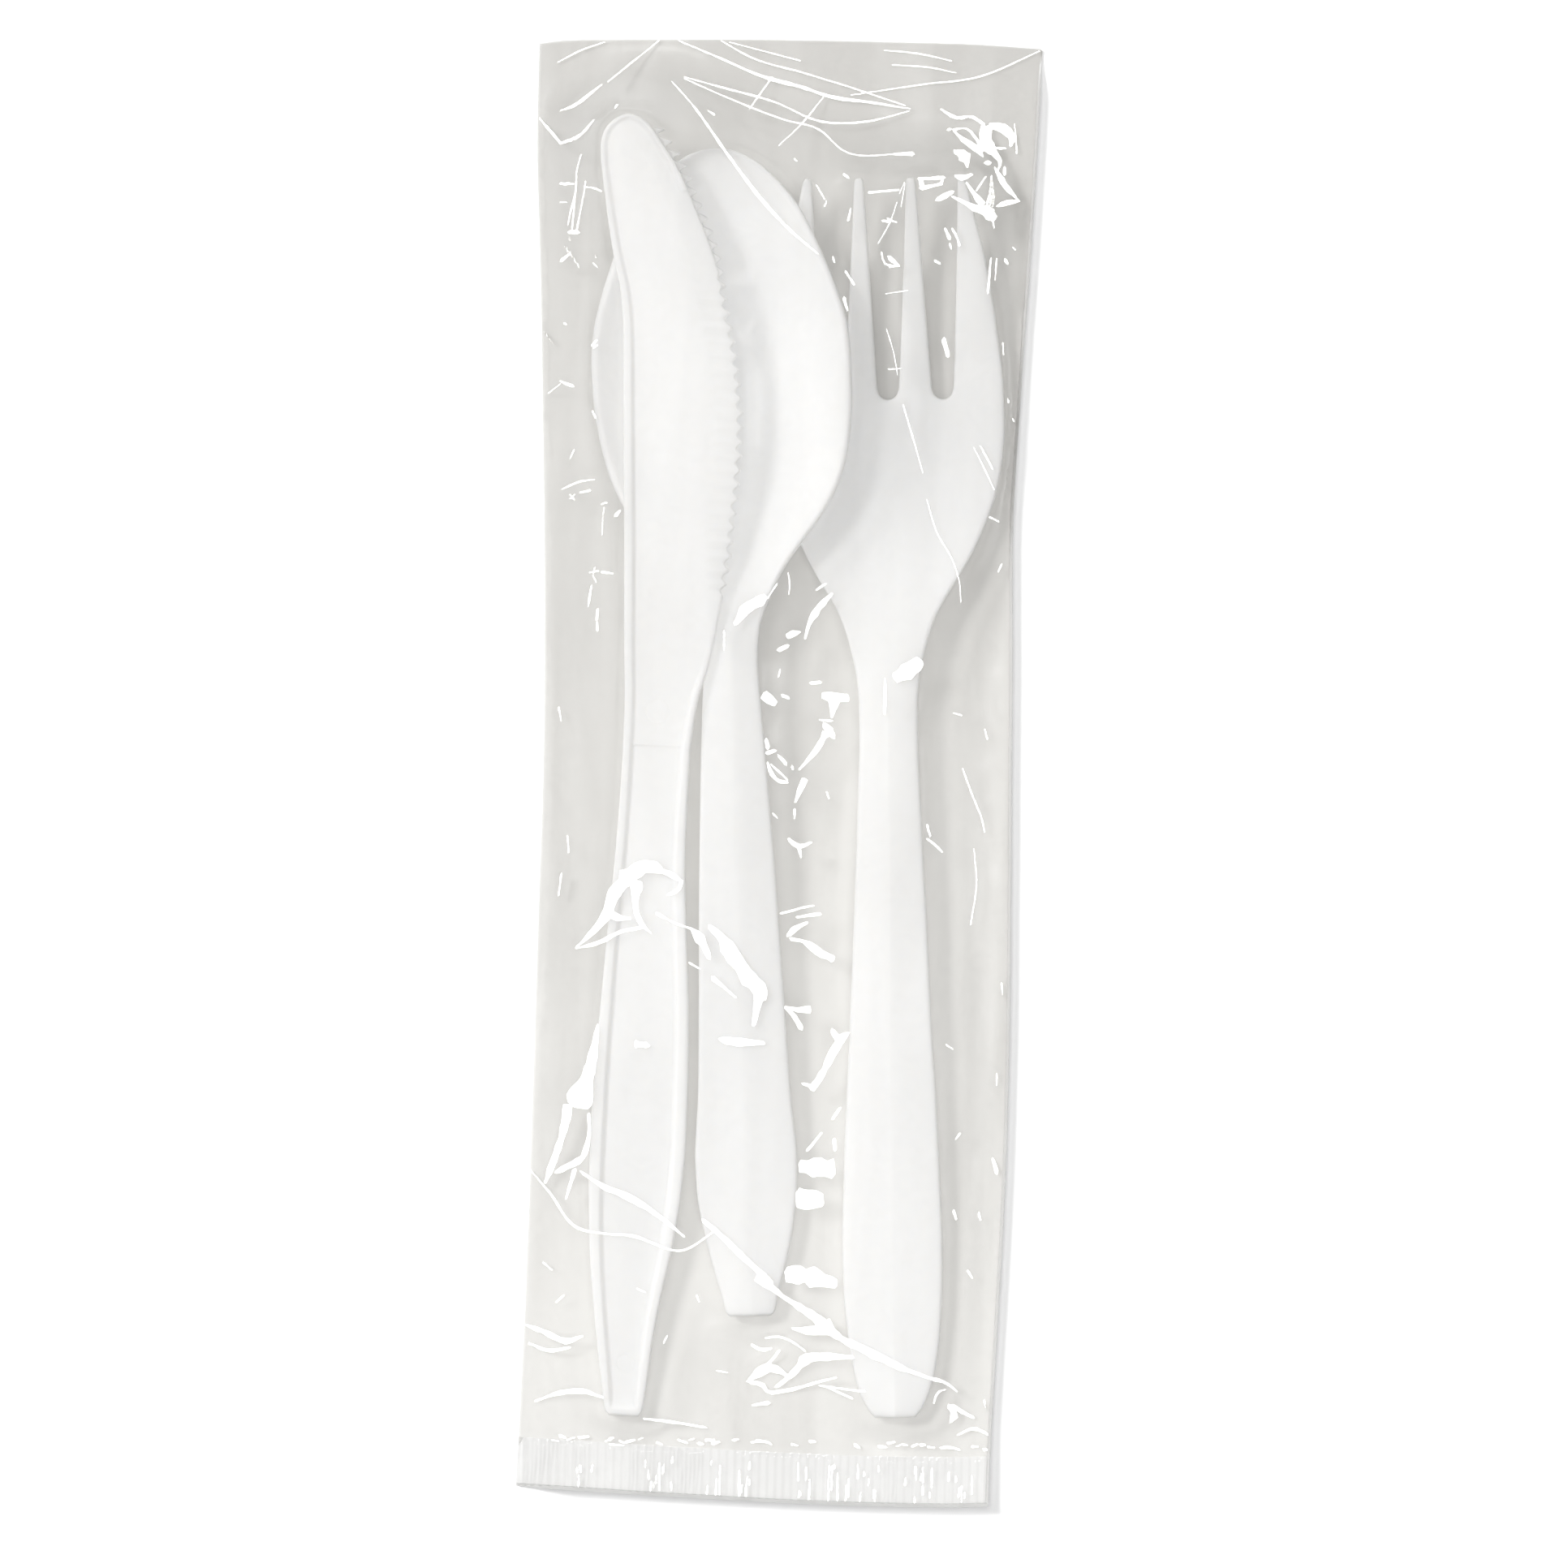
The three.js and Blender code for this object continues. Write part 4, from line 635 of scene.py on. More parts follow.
CREASE_MARKS = [
    ([[-28.81,73.63], [-27.88,73.5], [-27.06,73.48]], [0.2, 0.4, 0.25]),
    ([[-26.13,77.1], [-26.64,75.13], [-26.77,72.25], [-27.38,69.97], [-27.64,68.42]], [0.12, 0.2, 0.28, 0.2, 0.12]),
    ([[-26.81,71.84], [-26.96,69.77], [-27.11,67.71]], [0.2, 0.25, 0.2]),
    ([[-25.47,73.62], [-25.68,71.97], [-26.13,69.59], [-26.49,67.52]], [0.14, 0.2, 0.18, 0.22]),
    ([[-25.6,72.9], [-24.47,72.72], [-23.42,72.24]], [0.2, 0.24, 0.3]),
    ([[-27.41,67.4], [-26.38,67.37]], [0.45, 0.5]),
    ([[-27.5,66.98], [-27.38,66.37]], [0.25, 0.3]),
    ([[-28.09,65.83], [-27.34,64.82], [-26.38,63.51], [-26.05,62.9]], [0.2, 0.35, 0.25, 0.15]),
    ([[-28.35,63.97], [-27.44,64.72]], [0.5, 0.3]),
    ([[-24.21,63.36], [-23.69,62.86]], [0.2, 0.15]),
    ([[-23.93,64.3], [-23.82,63.99]], [0.15, 0.15]),
    ([[-28.75,71.27], [-27.93,71.29]], [0.15, 0.12]),
    ([[-27.77,55.96], [-27.56,55.87]], [0.25, 0.2]),
    ([[-24.04,52.98], [-23.54,53.61]], [0.3, 0.2]),
    ([[-23.82,52.67], [-23.42,52.99]], [0.2, 0.2]),
    ([[-23.82,44.65], [-23.38,43.84]], [0.25, 0.2]),
    ([[-28.14,48.65], [-27.31,48.26], [-26.48,47.97]], [0.2, 0.35, 0.3]),
    ([[-29.75,47.16], [-28.13,48.34]], [0.12, 0.12]),
    ([[-30.47,55.07], [-29.3,53.56]], [0.12, 0.15]),
    ([[-27.57,34.98], [-26.55,35.42], [-25.53,35.85], [-23.38,36.12]], [0.14, 0.28, 0.25, 0.15]),
    ([[-26.52,34.29], [-25.99,33.68]], [0.25, 0.2]),
    ([[-26.51,33.77], [-25.9,34.3]], [0.15, 0.15]),
    ([[-25.19,34.53], [-23.96,34.77]], [0.2, 0.3]),
    ([[-22.37,33.01], [-21.76,33.18]], [0.15, 0.25]),
    ([[-22.05,32.55], [-22.17,31.21], [-22.22,29.15]], [0.15, 0.12, 0.12]),
    ([[-20.43,31.57], [-20.03,32.09]], [0.5, 0.3]),
    ([[-23.68,24.38], [-23.18,24.7], [-22.66,24.61]], [0.2, 0.45, 0.25]),
    ([[-23.08,25.01], [-23.26,23.77], [-22.83,23.27]], [0.15, 0.2, 0.15]),
    ([[-22.14,24.47], [-21.52,24.39], [-20.7,24.25]], [0.2, 0.32, 0.2]),
    ([[-23.43,22.74], [-23.61,21.5], [-23.78,20.16]], [0.2, 0.35, 0.15]),
    ([[-22.58,19.68], [-22.65,18.54]], [0.5, 0.4]),
    ([[-22.59,18.13], [-22.51,17.11]], [0.2, 0.3]),
    ([[18.74,34.88], [20.19,30.6], [22.02,27.56], [23.13,24.5], [23.41,21.94]], [0.1, 0.14, 0.12, 0.14, 0.1]),
    ([[25.34,41.85], [25.99,40.74], [26.96,39.01]], [0.12, 0.26, 0.15]),
    ([[24.53,41.62], [25.83,39.19], [27.24,36.34]], [0.1, 0.16, 0.1]),
    ([[28.68,47.8], [28.79,47.5]], [0.25, 0.25]),
    ([[12.14,69.9], [12.86,69.81]], [0.3, 0.4]),
    ([[8.09,71.33], [7.82,69.78]], [0.15, 0.3]),
    ([[7.15,75.63], [7.68,75.23]], [0.35, 0.3]),
    ([[13.19,65.19], [14.35,64.3]], [0.6, 0.35]),
    ([[13.22,64.06], [14.45,64.3]], [0.25, 0.2]),
    ([[21.01,69.11], [21.55,68.19], [21.99,67.07]], [0.3, 0.2, 0.3]),
    ([[18.96,65.04], [19.58,64.74]], [0.3, 0.25]),
    ([[6.0,64.9], [6.22,64.28]], [0.25, 0.2]),
    ([[26.12,70.37], [26.35,69.45]], [0.2, 0.2]),
    ([[28.88,67.26], [29.2,66.96]], [0.2, 0.2]),
    ([[-10.34,83.29], [-9.51,82.8]], [0.15, 0.25]),
    ([[0.83,77.41], [1.14,77.11]], [0.2, 0.15]),
    ([[-21.66,83.29], [-21.96,82.87]], [0.25, 0.2]),
    ([[4.98,72.07], [4.79,71.45]], [0.15, 0.2]),
    ([[14.21,73.35], [14.79,74.8], [14.46,71.71]], [0.1, 0.1, 0.1]),
    ([[1.41,24.95], [1.65,23.72], [1.58,22.28]], [0.12, 0.2, 0.12]),
    ([[5.06,22.99], [6.17,23.74]], [0.2, 0.32]),
    ([[7.03,22.53], [5.93,21.37], [4.94,20.0], [4.25,18.65], [3.79,16.78]], [0.3, 0.75, 0.9, 0.5, 0.2]),
    ([[1.52,16.93], [2.23,17.36], [3.05,17.58]], [0.8, 0.8, 0.3]),
    ([[0.54,15.25], [1.55,15.8]], [0.5, 0.6]),
    ([[4.76,11.15], [5.79,11.28]], [0.55, 0.4]),
    ([[-1.26,9.55], [-0.63,9.05], [0.21,8.35]], [1.0, 1.4, 0.8]),
    ([[1.1,9.51], [1.83,9.22]], [0.3, 0.4]),
    ([[6.14,9.64], [7.69,9.37], [9.44,9.42]], [0.7, 1.5, 1.0]),
    ([[7.7,9.17], [7.45,7.0]], [1.6, 0.35]),
    ([[5.92,6.55], [7.46,6.44]], [0.2, 0.3]),
    ([[6.55,5.95], [7.19,5.24], [7.72,4.44]], [0.5, 1.0, 0.6]),
    ([[6.78,4.93], [5.61,2.73], [4.51,1.37], [3.51,0.21]], [0.9, 0.6, 0.4, 0.25]),
    ([[-0.8,3.8], [-0.57,2.88]], [0.45, 0.5]),
    ([[-0.55,2.16], [-0.05,2.58], [0.36,2.49]], [0.5, 0.4, 0.5]),
    ([[0.79,1.88], [1.22,1.48], [1.75,0.88]], [0.25, 0.5, 0.4]),
    ([[-0.52,0.92], [-0.07,-0.3], [0.88,-1.3], [2.01,-1.48]], [0.25, 0.45, 0.45, 0.3]),
    ([[-0.1,0.73], [0.95,-0.17], [2.01,-1.17]], [0.2, 0.25, 0.2]),
    ([[4.21,-1.01], [3.68,-2.26], [3.11,-3.92]], [0.75, 0.7, 0.3]),
    ([[2.58,0.49], [2.69,0.19]], [0.4, 0.3]),
    ([[-13.63,-13.01], [-15.49,-12.44], [-17.72,-13.94], [-19.46,-16.05], [-20.17,-18.33]], [0.9, 1.6, 2.1, 1.4, 1.2]),
    ([[-16.47,-14.53], [-16.79,-15.98], [-16.56,-18.54], [-15.75,-20.07], [-14.7,-20.96]], [1.4, 1.4, 0.6, 0.5, 0.15]),
    ([[-20.17,-18.33], [-21.41,-20.22], [-24.16,-23.12]], [1.5, 0.9, 0.2]),
    ([[-19.64,-18.83], [-18.6,-19.22], [-17.37,-19.18]], [1.1, 0.8, 0.4]),
    ([[-16.0,-20.33], [-18.56,-20.91], [-21.09,-22.27], [-24.16,-23.24]], [0.35, 0.5, 0.6, 0.2]),
    ([[-13.42,-13.11], [-12.27,-13.59], [-11.23,-14.18]], [0.5, 0.8, 0.5]),
    ([[-11.02,-14.38], [-11.3,-15.32], [-12.62,-16.07]], [0.5, 0.6, 0.3]),
    ([[-13.99,-18.48], [-11.91,-19.55], [-9.62,-20.31]], [0.35, 0.22, 0.3]),
    ([[-9.62,-20.31], [-8.56,-21.42], [-7.26,-23.85]], [0.4, 1.3, 0.5]),
    ([[-7.26,-20.04], [-5.68,-21.55], [-4.07,-23.87], [-2.47,-26.09], [-0.67,-28.1], [-0.64,-29.13]], [0.6, 1.6, 1.7, 1.9, 2.0, 1.3]),
    ([[-0.86,-28.62], [-1.12,-30.48], [-1.38,-32.23]], [1.3, 0.9, 0.5]),
    ([[-9.71,-24.64], [-8.46,-25.32]], [0.22, 0.22]),
    ([[-6.68,-26.51], [-3.73,-28.9]], [0.5, 0.2]),
    ([[-5.44,-34.3], [-3.79,-34.46], [-0.18,-34.57]], [0.8, 1.0, 0.6]),
    ([[-16.33,-35.1], [-14.88,-35.17]], [0.85, 0.6]),
    ([[1.64,-18.06], [3.17,-17.71], [3.98,-17.38], [5.72,-17.02]], [0.25, 0.35, 0.22, 0.25]),
    ([[3.71,-18.52], [6.57,-18.03]], [0.35, 0.5]),
    ([[2.74,-20.81], [3.54,-19.96], [4.96,-19.2]], [0.5, 0.85, 0.3]),
    ([[3.06,-21.31], [4.61,-21.58], [6.39,-22.77], [8.48,-23.74]], [0.4, 0.55, 1.1, 0.8]),
    ([[2.47,-29.97], [3.52,-30.87], [4.6,-32.49]], [0.25, 0.6, 0.6]),
    ([[2.57,-29.97], [4.02,-30.24], [5.67,-30.19]], [0.3, 0.6, 0.95]),
    ([[8.62,-32.89], [9.47,-33.9], [10.48,-33.15]], [0.8, 1.3, 0.7]),
    ([[9.48,-34.1], [8.3,-36.4], [7.13,-38.8], [6.14,-40.37]], [1.1, 0.9, 0.85, 0.7]),
    ([[5.1,-39.68], [6.44,-39.95]], [0.4, 0.5]),
    ([[-0.21,-64.41], [1.68,-65.6], [3.46,-66.89], [5.87,-68.36], [7.96,-69.85], [10.59,-71.84]], [1.0, 0.9, 0.4, 0.9, 1.5, 1.0]),
    ([[4.6,-70.87], [6.97,-71.11], [9.53,-70.53]], [0.3, 1.2, 1.9]),
    ([[10.59,-71.84], [13.19,-73.0], [16.01,-74.27], [18.61,-75.43], [22.04,-76.57], [24.11,-77.14], [25.68,-78.33]], [0.9, 1.0, 0.9, 0.7, 0.4, 0.45, 0.15]),
    ([[1.24,-72.19], [2.57,-71.95], [4.43,-72.52], [6.22,-73.71]], [0.22, 0.25, 0.22, 0.2]),
    ([[-0.49,-73.16], [0.56,-73.75], [1.89,-73.51]], [0.4, 0.55, 0.22]),
    ([[2.92,-73.79], [1.93,-75.16], [1.13,-75.9]], [0.22, 0.3, 0.4]),
    ([[-0.88,-77.81], [0.43,-76.74], [1.65,-76.09], [2.99,-76.36], [4.04,-77.06]], [0.5, 1.2, 1.2, 0.8, 0.4]),
    ([[-0.56,-78.0], [0.99,-78.27], [1.52,-79.08], [3.27,-79.03], [5.62,-78.45], [8.17,-77.56], [10.21,-76.99]], [0.5, 0.5, 0.5, 0.45, 0.35, 0.3, 0.25]),
    ([[2.74,-78.43], [4.25,-77.15], [5.55,-75.78], [6.24,-74.73], [8.09,-74.38], [12.2,-74.27]], [0.4, 0.6, 1.0, 1.3, 1.2, 0.5]),
    ([[8.18,-78.08], [9.73,-78.24], [13.86,-78.54]], [0.25, 0.3, 0.25]),
    ([[8.91,-78.16], [12.34,-79.51]], [0.2, 0.25]),
    ([[22.74,-79.75], [23.22,-78.39], [24.13,-78.06]], [0.2, 0.22, 0.2]),
    ([[24.71,-80.21], [25.46,-81.42], [24.97,-82.26]], [0.6, 0.9, 0.3]),
    ([[25.22,-80.19], [26.79,-81.18], [27.83,-81.67]], [0.5, 0.5, 0.4]),
    ([[29.22,-79.57], [29.55,-80.59]], [0.3, 0.4]),
    ([[-0.28,-80.88], [1.66,-80.52]], [0.22, 0.45]),
    ([[19.27,84.71], [21.5,83.64], [23.21,83.89], [24.77,82.94]], [0.25, 0.5, 0.3, 0.5]),
    ([[25.15,82.6], [24.98,81.06], [26.02,79.34]], [1.25, 1.9, 1.25]),
    ([[25.53,82.78], [27.27,82.45], [28.44,81.35], [28.28,80.36]], [0.8, 1.2, 1.0, 0.4]),
    ([[26.02,79.34], [27.0,78.03], [26.64,76.89]], [1.1, 0.6, 0.15]),
    ([[26.0,79.85], [27.62,79.92]], [0.3, 0.25]),
    ([[20.97,82.08], [22.48,82.33], [23.85,81.03], [24.67,79.3]], [0.3, 0.28, 0.38, 0.3]),
    ([[20.97,81.87], [22.53,80.58], [23.89,79.69], [24.69,78.74]], [0.3, 0.65, 0.95, 0.25]),
    ([[20.28,82.06], [20.53,82.17]], [0.5, 0.4]),
    ([[21.23,79.13], [22.4,78.49], [22.73,77.06]], [0.6, 1.8, 0.3]),
    ([[25.23,77.79], [25.58,77.89]], [0.7, 0.5]),
    ([[16.66,75.23], [19.72,75.51]], [0.5, 0.45]),
    ([[19.62,75.44], [19.45,74.68]], [0.4, 0.4]),
    ([[19.45,74.68], [16.98,74.1]], [0.42, 0.5]),
    ([[16.87,75.08], [17.08,74.14]], [0.5, 0.5]),
    ([[21.33,75.61], [22.15,75.43], [23.24,75.92]], [0.6, 0.95, 0.4]),
    ([[19.14,72.68], [20.83,73.67]], [0.75, 0.6]),
    ([[20.85,73.09], [22.88,72.19], [24.04,71.65], [25.2,71.5], [26.36,70.57]], [0.25, 0.5, 0.95, 1.8, 1.1]),
    ([[22.62,74.86], [23.61,73.55], [24.79,72.24]], [0.25, 0.45, 0.9]),
    ([[25.84,76.09], [25.88,74.56], [25.91,73.42], [25.48,71.88]], [0.22, 0.55, 0.85, 0.9]),
    ([[25.08,75.88], [23.89,73.93]], [0.2, 0.22]),
    ([[26.28,77.25], [27.39,75.36], [29.45,73.23]], [0.35, 0.95, 0.25]),
    ([[29.45,73.23], [27.64,72.7], [26.7,72.29]], [0.3, 0.85, 0.3]),
    ([[27.52,77.32], [27.54,76.5]], [0.4, 0.35]),
    ([[28.7,83.05], [29.09,79.42]], [0.18, 0.2]),
    ([[20.1,69.06], [20.71,67.93]], [0.35, 0.6]),
    ([[20.78,67.17], [20.95,66.66]], [0.35, 0.3]),
    ([[26.02,65.58], [25.76,61.19]], [0.2, 0.32]),
    ([[27.92,65.51], [28.19,65.16]], [0.5, 0.4]),
    ([[13.33,78.52], [15.69,78.69]], [0.3, 0.55]),
    ([[-21.15,-32.8], [-21.66,-36.73], [-22.49,-40.35], [-23.34,-43.16]], [0.3, 1.2, 2.1, 2.9]),
    ([[-24.68,-43.19], [-25.4,-47.13], [-26.54,-50.76], [-27.4,-53.16]], [1.4, 1.0, 1.0, 0.4]),
    ([[-21.98,-44.15], [-21.99,-47.55], [-22.65,-49.63], [-24.47,-50.92], [-26.0,-51.78]], [0.4, 0.5, 0.8, 0.75, 0.5]),
    ([[-23.64,-51.41], [-24.67,-55.04]], [0.6, 0.25]),
    ([[-22.81,-51.49], [-19.77,-53.36], [-16.65,-54.62], [-12.46,-57.08], [-9.52,-59.37]], [0.25, 0.55, 0.95, 0.55, 0.22]),
]


def crease_cells(line, widths):
    """A stroke along a smooth line with its width at each point, as convex cells and the sides they share."""
    p = np.array(line, float)
    seg = np.hypot(*np.diff(p, axis=0).T)
    t = np.concatenate([[0], np.cumsum(seg)])
    n = max(2, int(round(t[-1] / .8)) + 1)
    q = np.linspace(0, t[-1], n)
    if len(p) > 2:
        x, y = np.empty(n), np.empty(n)
        m = np.gradient(p, t, axis=0)
        for k, v in enumerate(q):
            i = min(max(int(np.searchsorted(t, v, side="right")) - 1, 0), len(t) - 2)
            h = t[i + 1] - t[i]
            u = (v - t[i]) / h
            a = (1 + 2 * u) * (1 - u) ** 2 * p[i] + u * (1 - u) ** 2 * h * m[i] + u * u * (3 - 2 * u) * p[i + 1] + u * u * (u - 1) * h * m[i + 1]
            x[k], y[k] = a
    else:
        x, y = np.interp(q, t, p[:, 0]), np.interp(q, t, p[:, 1])
    w = np.interp(q, t, widths) * rng.uniform(.75, 1.2, n) / 2
    dx, dy = np.gradient(x), np.gradient(y)
    l = np.hypot(dx, dy)
    nx, ny = -dy / l, dx / l
    left = np.c_[x + nx * w, y + ny * w]
    k_ = rng.uniform(.75, 1.2, n)
    right = np.c_[x - nx * w * k_, y - ny * w * k_]
    cells = [(np.array([left[k], right[k], right[k + 1], left[k + 1]]), (0 if k else -1, 2 if k < n - 2 else -1)) for k in range(n - 1)]
    reach = [1.3 * v if v < .35 else .3 * v for v in (w[0], w[-1])]
    tail = np.array([x[0] - dx[0] / l[0] * reach[0] + nx[0] * w[0] * .3, y[0] - dy[0] / l[0] * reach[0] + ny[0] * w[0] * .3])
    head = np.array([x[-1] + dx[-1] / l[-1] * reach[1] - nx[-1] * w[-1] * .3, y[-1] + dy[-1] / l[-1] * reach[1] - ny[-1] * w[-1] * .3])
    cells[0] = (cells[0][0], (0, cells[0][1][1]))
    cells[-1] = (cells[-1][0], (cells[-1][1][0], 2))
    cells.append((np.array([tail, right[0], left[0]]), (1, -1)))
    cells.append((np.array([head, left[-1], right[-1]]), (1, -1)))
    return cells


def facing(line):
    """The light that a crease can face with the least rise along its length."""
    p = np.array(line, float)
    d = p[-1] - p[0]
    d = d / np.hypot(*d)
    c = p.mean(0)
    best, score = 0, 9
    for k in range(len(LIGHTS)):
        g = crease_gradient(np.array([k]), c[:1], c[1:])[0]
        along = abs(g @ d) - (.06 if k == 0 else 0)
        if along < score:
            best, score = k, along
    return best


CREASES = [(crease_cells(line, [w * (.62 if line[0][1] > 40 else .8) if w < 1.2 else w for w in widths]), facing(line)) for line, widths in CREASE_LINES]
CREASES += [(crease_cells(line, widths), facing(line)) for line, widths in CREASE_MARKS]

# ------------------------------------------------------------------ film pouch

SIDE_WELD, TOP_FOLD, CRIMP_HEIGHT, RIB_PITCH = 0.75, 0.3, 6.2, 1.03
left_edge, right_edge = Curve(POUCH_LEFT), Curve(POUCH_RIGHT)
top_edge, bottom_edge = Curve(POUCH_TOP), Curve(POUCH_BOTTOM)

# Height of the contents over a grid, which the upper film lies on
H = 0.5
GX0, GY0 = -34.0, -95.0
NX, NY = 137, 381
gx, gy = GX0 + H * np.arange(NX), GY0 + H * np.arange(NY)
support = np.full((NY, NX), -1.0)
for ob in (knife, spoon, fork):
    me = ob.data
    co = np.empty(len(me.vertices) * 3)
    me.vertices.foreach_get("co", co)
    co = co.reshape(-1, 3) / MM
    quads = np.array([list(p.vertices) for p in me.polygons if len(p.vertices) == 4])
    c = co[quads]
    for a in (0, .33, .67, 1):
        for b in (0, .33, .67, 1):
            q = (c[:, 0] * (1 - a) + c[:, 1] * a) * (1 - b) + (c[:, 3] * (1 - a) + c[:, 2] * a) * b
            i = np.round((q[:, 0] - GX0) / H).astype(int)
            j = np.round((q[:, 1] - GY0) / H).astype(int)
            np.maximum.at(support, (j, i), q[:, 2])
pad = support.copy()
for dj in (-1, 0, 1):
    for di in (-1, 0, 1):
        pad = np.maximum(pad, np.roll(np.roll(support, dj, 0), di, 1))
support = pad

X, Y = np.meshgrid(gx, gy)
GAP = 0.45
inside = (X > left_edge(Y) + SIDE_WELD) & (X < right_edge(Y) - SIDE_WELD) & (Y < top_edge(X) - TOP_FOLD) & (Y > bottom_edge(X) + CRIMP_HEIGHT)
need = np.where(support > 0, support + GAP, .15)
z = np.full((NY, NX), .15)
z[inside] = need[inside]
parity = (np.add.outer(np.arange(NY), np.arange(NX)) % 2).astype(bool)
load = 0.004  # the film hangs a little between the pieces
for n in range(1400):
    for par in (parity, ~parity):
        mean = (np.roll(z, 1, 0) * .6 + np.roll(z, -1, 0) * .6 + np.roll(z, 1, 1) * 1.4 + np.roll(z, -1, 1) * 1.4) / 4 - load
        new = np.maximum(z + 1.86 * (mean - z), need)
        m = inside & par
        z[m] = new[m]
film_z = z


def sample(grid, p):
    fx = np.clip((p[:, 0] - GX0) / H, 0, NX - 1.001)
    fy = np.clip((p[:, 1] - GY0) / H, 0, NY - 1.001)
    i, j = fx.astype(int), fy.astype(int)
    u, v = fx - i, fy - j
    return (grid[j, i] * (1 - u) + grid[j, i + 1] * u) * (1 - v) + (grid[j + 1, i] * (1 - u) + grid[j + 1, i + 1] * u) * v


def wrinkles(p):
    """Sum of many long low folds: each is a tent across a slightly curved line, steeper on one side."""
    out = np.zeros(len(p))
    for n in range(len(FOLDS)):
        x0, y0, ang, length, wl, wr, h, bend = FOLDS[n]
        c, s = math.cos(ang), math.sin(ang)
        dx, dy = p[:, 0] - x0, p[:, 1] - y0
        t = (dx * c + dy * s) / length
        a = -dx * s + dy * c + bend * length * (t * t)
        w = np.clip(1 - t * t, 0, 1)
        q = np.where(a < 0, 1 + a / wl, 1 - a / wr)
        out += h * w * w * np.maximum(q, 0)
    return out


def fold_set(count):
    rows = []
    for n in range(count):
        x0, y0 = rng.uniform(-31, 31), rng.uniform(-86, 92)
        ang = math.radians(rng.choice([rng.normal(90, 22), rng.normal(150, 25), rng.normal(35, 25)], p=[.5, .28, .22]))
        length = rng.uniform(4, 20)
        wl, wr = rng.uniform(.8, 4.5), rng.uniform(.8, 4.5)
        h = rng.uniform(.03, .09) * min(wl, wr)
        rows.append((x0, y0, ang, length, wl, wr, h * rng.choice([1, -1], p=[.7, .3]), rng.uniform(-.12, .12)))
    return rows


FOLDS = fold_set(240)


def slack(p):
    """1 where the film is free and 0 at its welds."""
    d = np.minimum(np.minimum(p[:, 0] - left_edge(p[:, 1]), right_edge(p[:, 1]) - p[:, 0]) - SIDE_WELD,
                   np.minimum(top_edge(p[:, 0]) - TOP_FOLD - p[:, 1], p[:, 1] - bottom_edge(p[:, 0]) - CRIMP_HEIGHT))
    return d


# Triangulation of the upper film: an even field of points, its outline and the lines where the welds end
def crimp_line(x):
    return bottom_edge(x) + CRIMP_HEIGHT


for cx, spread, count in ((-21.5, 1.2, 5), (-12.2, 2.2, 12), (-5.2, 1.1, 4), (-.5, 1.4, 7), (6.5, 1.2, 6), (12.8, 3.2, 17), (20.5, 2.4, 10), (26.5, 1.6, 6)):
    for n in range(count):
        x = cx + rng.uniform(-spread, spread)
        lo = float(bottom_edge(x))
        y0 = lo + rng.uniform(.9, 5.2)
        y1 = max(lo + .5, y0 - rng.choice([rng.uniform(.35, 1.0), rng.uniform(1.2, 4.0)]))
        CREASES.append((crease_cells([(x, y0), (x + rng.uniform(-.08, .08), y1)], [rng.uniform(.14, .24), rng.uniform(.16, .3)]), facing([(x, y0), (x, y1)])))


pts2, edges2, polys2 = [], [], []


def add_loop(loop):
    k = len(pts2)
    pts2.extend(loop)
    n = len(loop)
    edges2.extend([(k + a, k + (a + 1) % n) for a in range(n)])
    return list(range(k, k + n))


STEP = .62
border = []
for y in np.arange(-86.9, 92.2, STEP):
    border.append((float(left_edge(y)), float(y)))
xs_top = np.arange(float(left_edge(92.3)), float(right_edge(92.6)), STEP)
border += [(float(x), float(top_edge(x))) for x in xs_top]
border += [(float(right_edge(y)), float(y)) for y in np.arange(92.4, -86.8, -STEP)]
border += [(float(x), float(crimp_line(x))) for x in np.arange(29.6, -29.6, -STEP)]
border_ids = add_loop(border)
# lines where the welds end
for rows in ([(float(left_edge(y)) + SIDE_WELD, float(y)) for y in np.arange(-86.2, 91.4, STEP * 1.5)],
             [(float(right_edge(y)) - SIDE_WELD, float(y)) for y in np.arange(-86.2, 91.9, STEP * 1.5)],
             [(float(x), float(top_edge(x)) - TOP_FOLD) for x in np.arange(-31, 31, STEP * 1.5)]):
    k = len(pts2)
    pts2.extend(rows)
    edges2.extend([(k + a, k + a + 1) for a in range(len(rows) - 1)])
field = []
for j, y in enumerate(np.arange(-86.2, 92.4, STEP * .866)):
    for x in np.arange(-31.6 + (j % 2) * STEP / 2, 31.7, STEP):
        field.append((x, y))
field = np.array(field) + rng.uniform(-.1, .1, (len(field), 2))
ok = slack(field) + SIDE_WELD > .3
ok &= np.abs(slack(field)) > .25
field = field[ok]
pts2.extend([tuple(f) for f in field])
v2, e2, f2, ov, oe, of_ = delaunay_2d_cdt([Vector((float(a), float(b))) for a, b in pts2], edges2, [border_ids], 1, 1e-5)
P2 = np.array([(v[0], v[1]) for v in v2])
T = np.array([f for f in f2 if len(f) == 3])


# triangles outside the pouch are dropped (the lens-shaped slivers along the curved edges)
cen = P2[T].mean(1)
area2 = np.cross(P2[T[:, 1]] - P2[T[:, 0]], P2[T[:, 2]] - P2[T[:, 0]])
good = np.abs(area2) > 1e-6
T, area2 = T[good], area2[good]
T[area2 < 0] = T[area2 < 0][:, ::-1]

used = np.unique(T)
again = np.full(len(P2), -1)
again[used] = np.arange(len(used))
P2, T = P2[used], again[T]


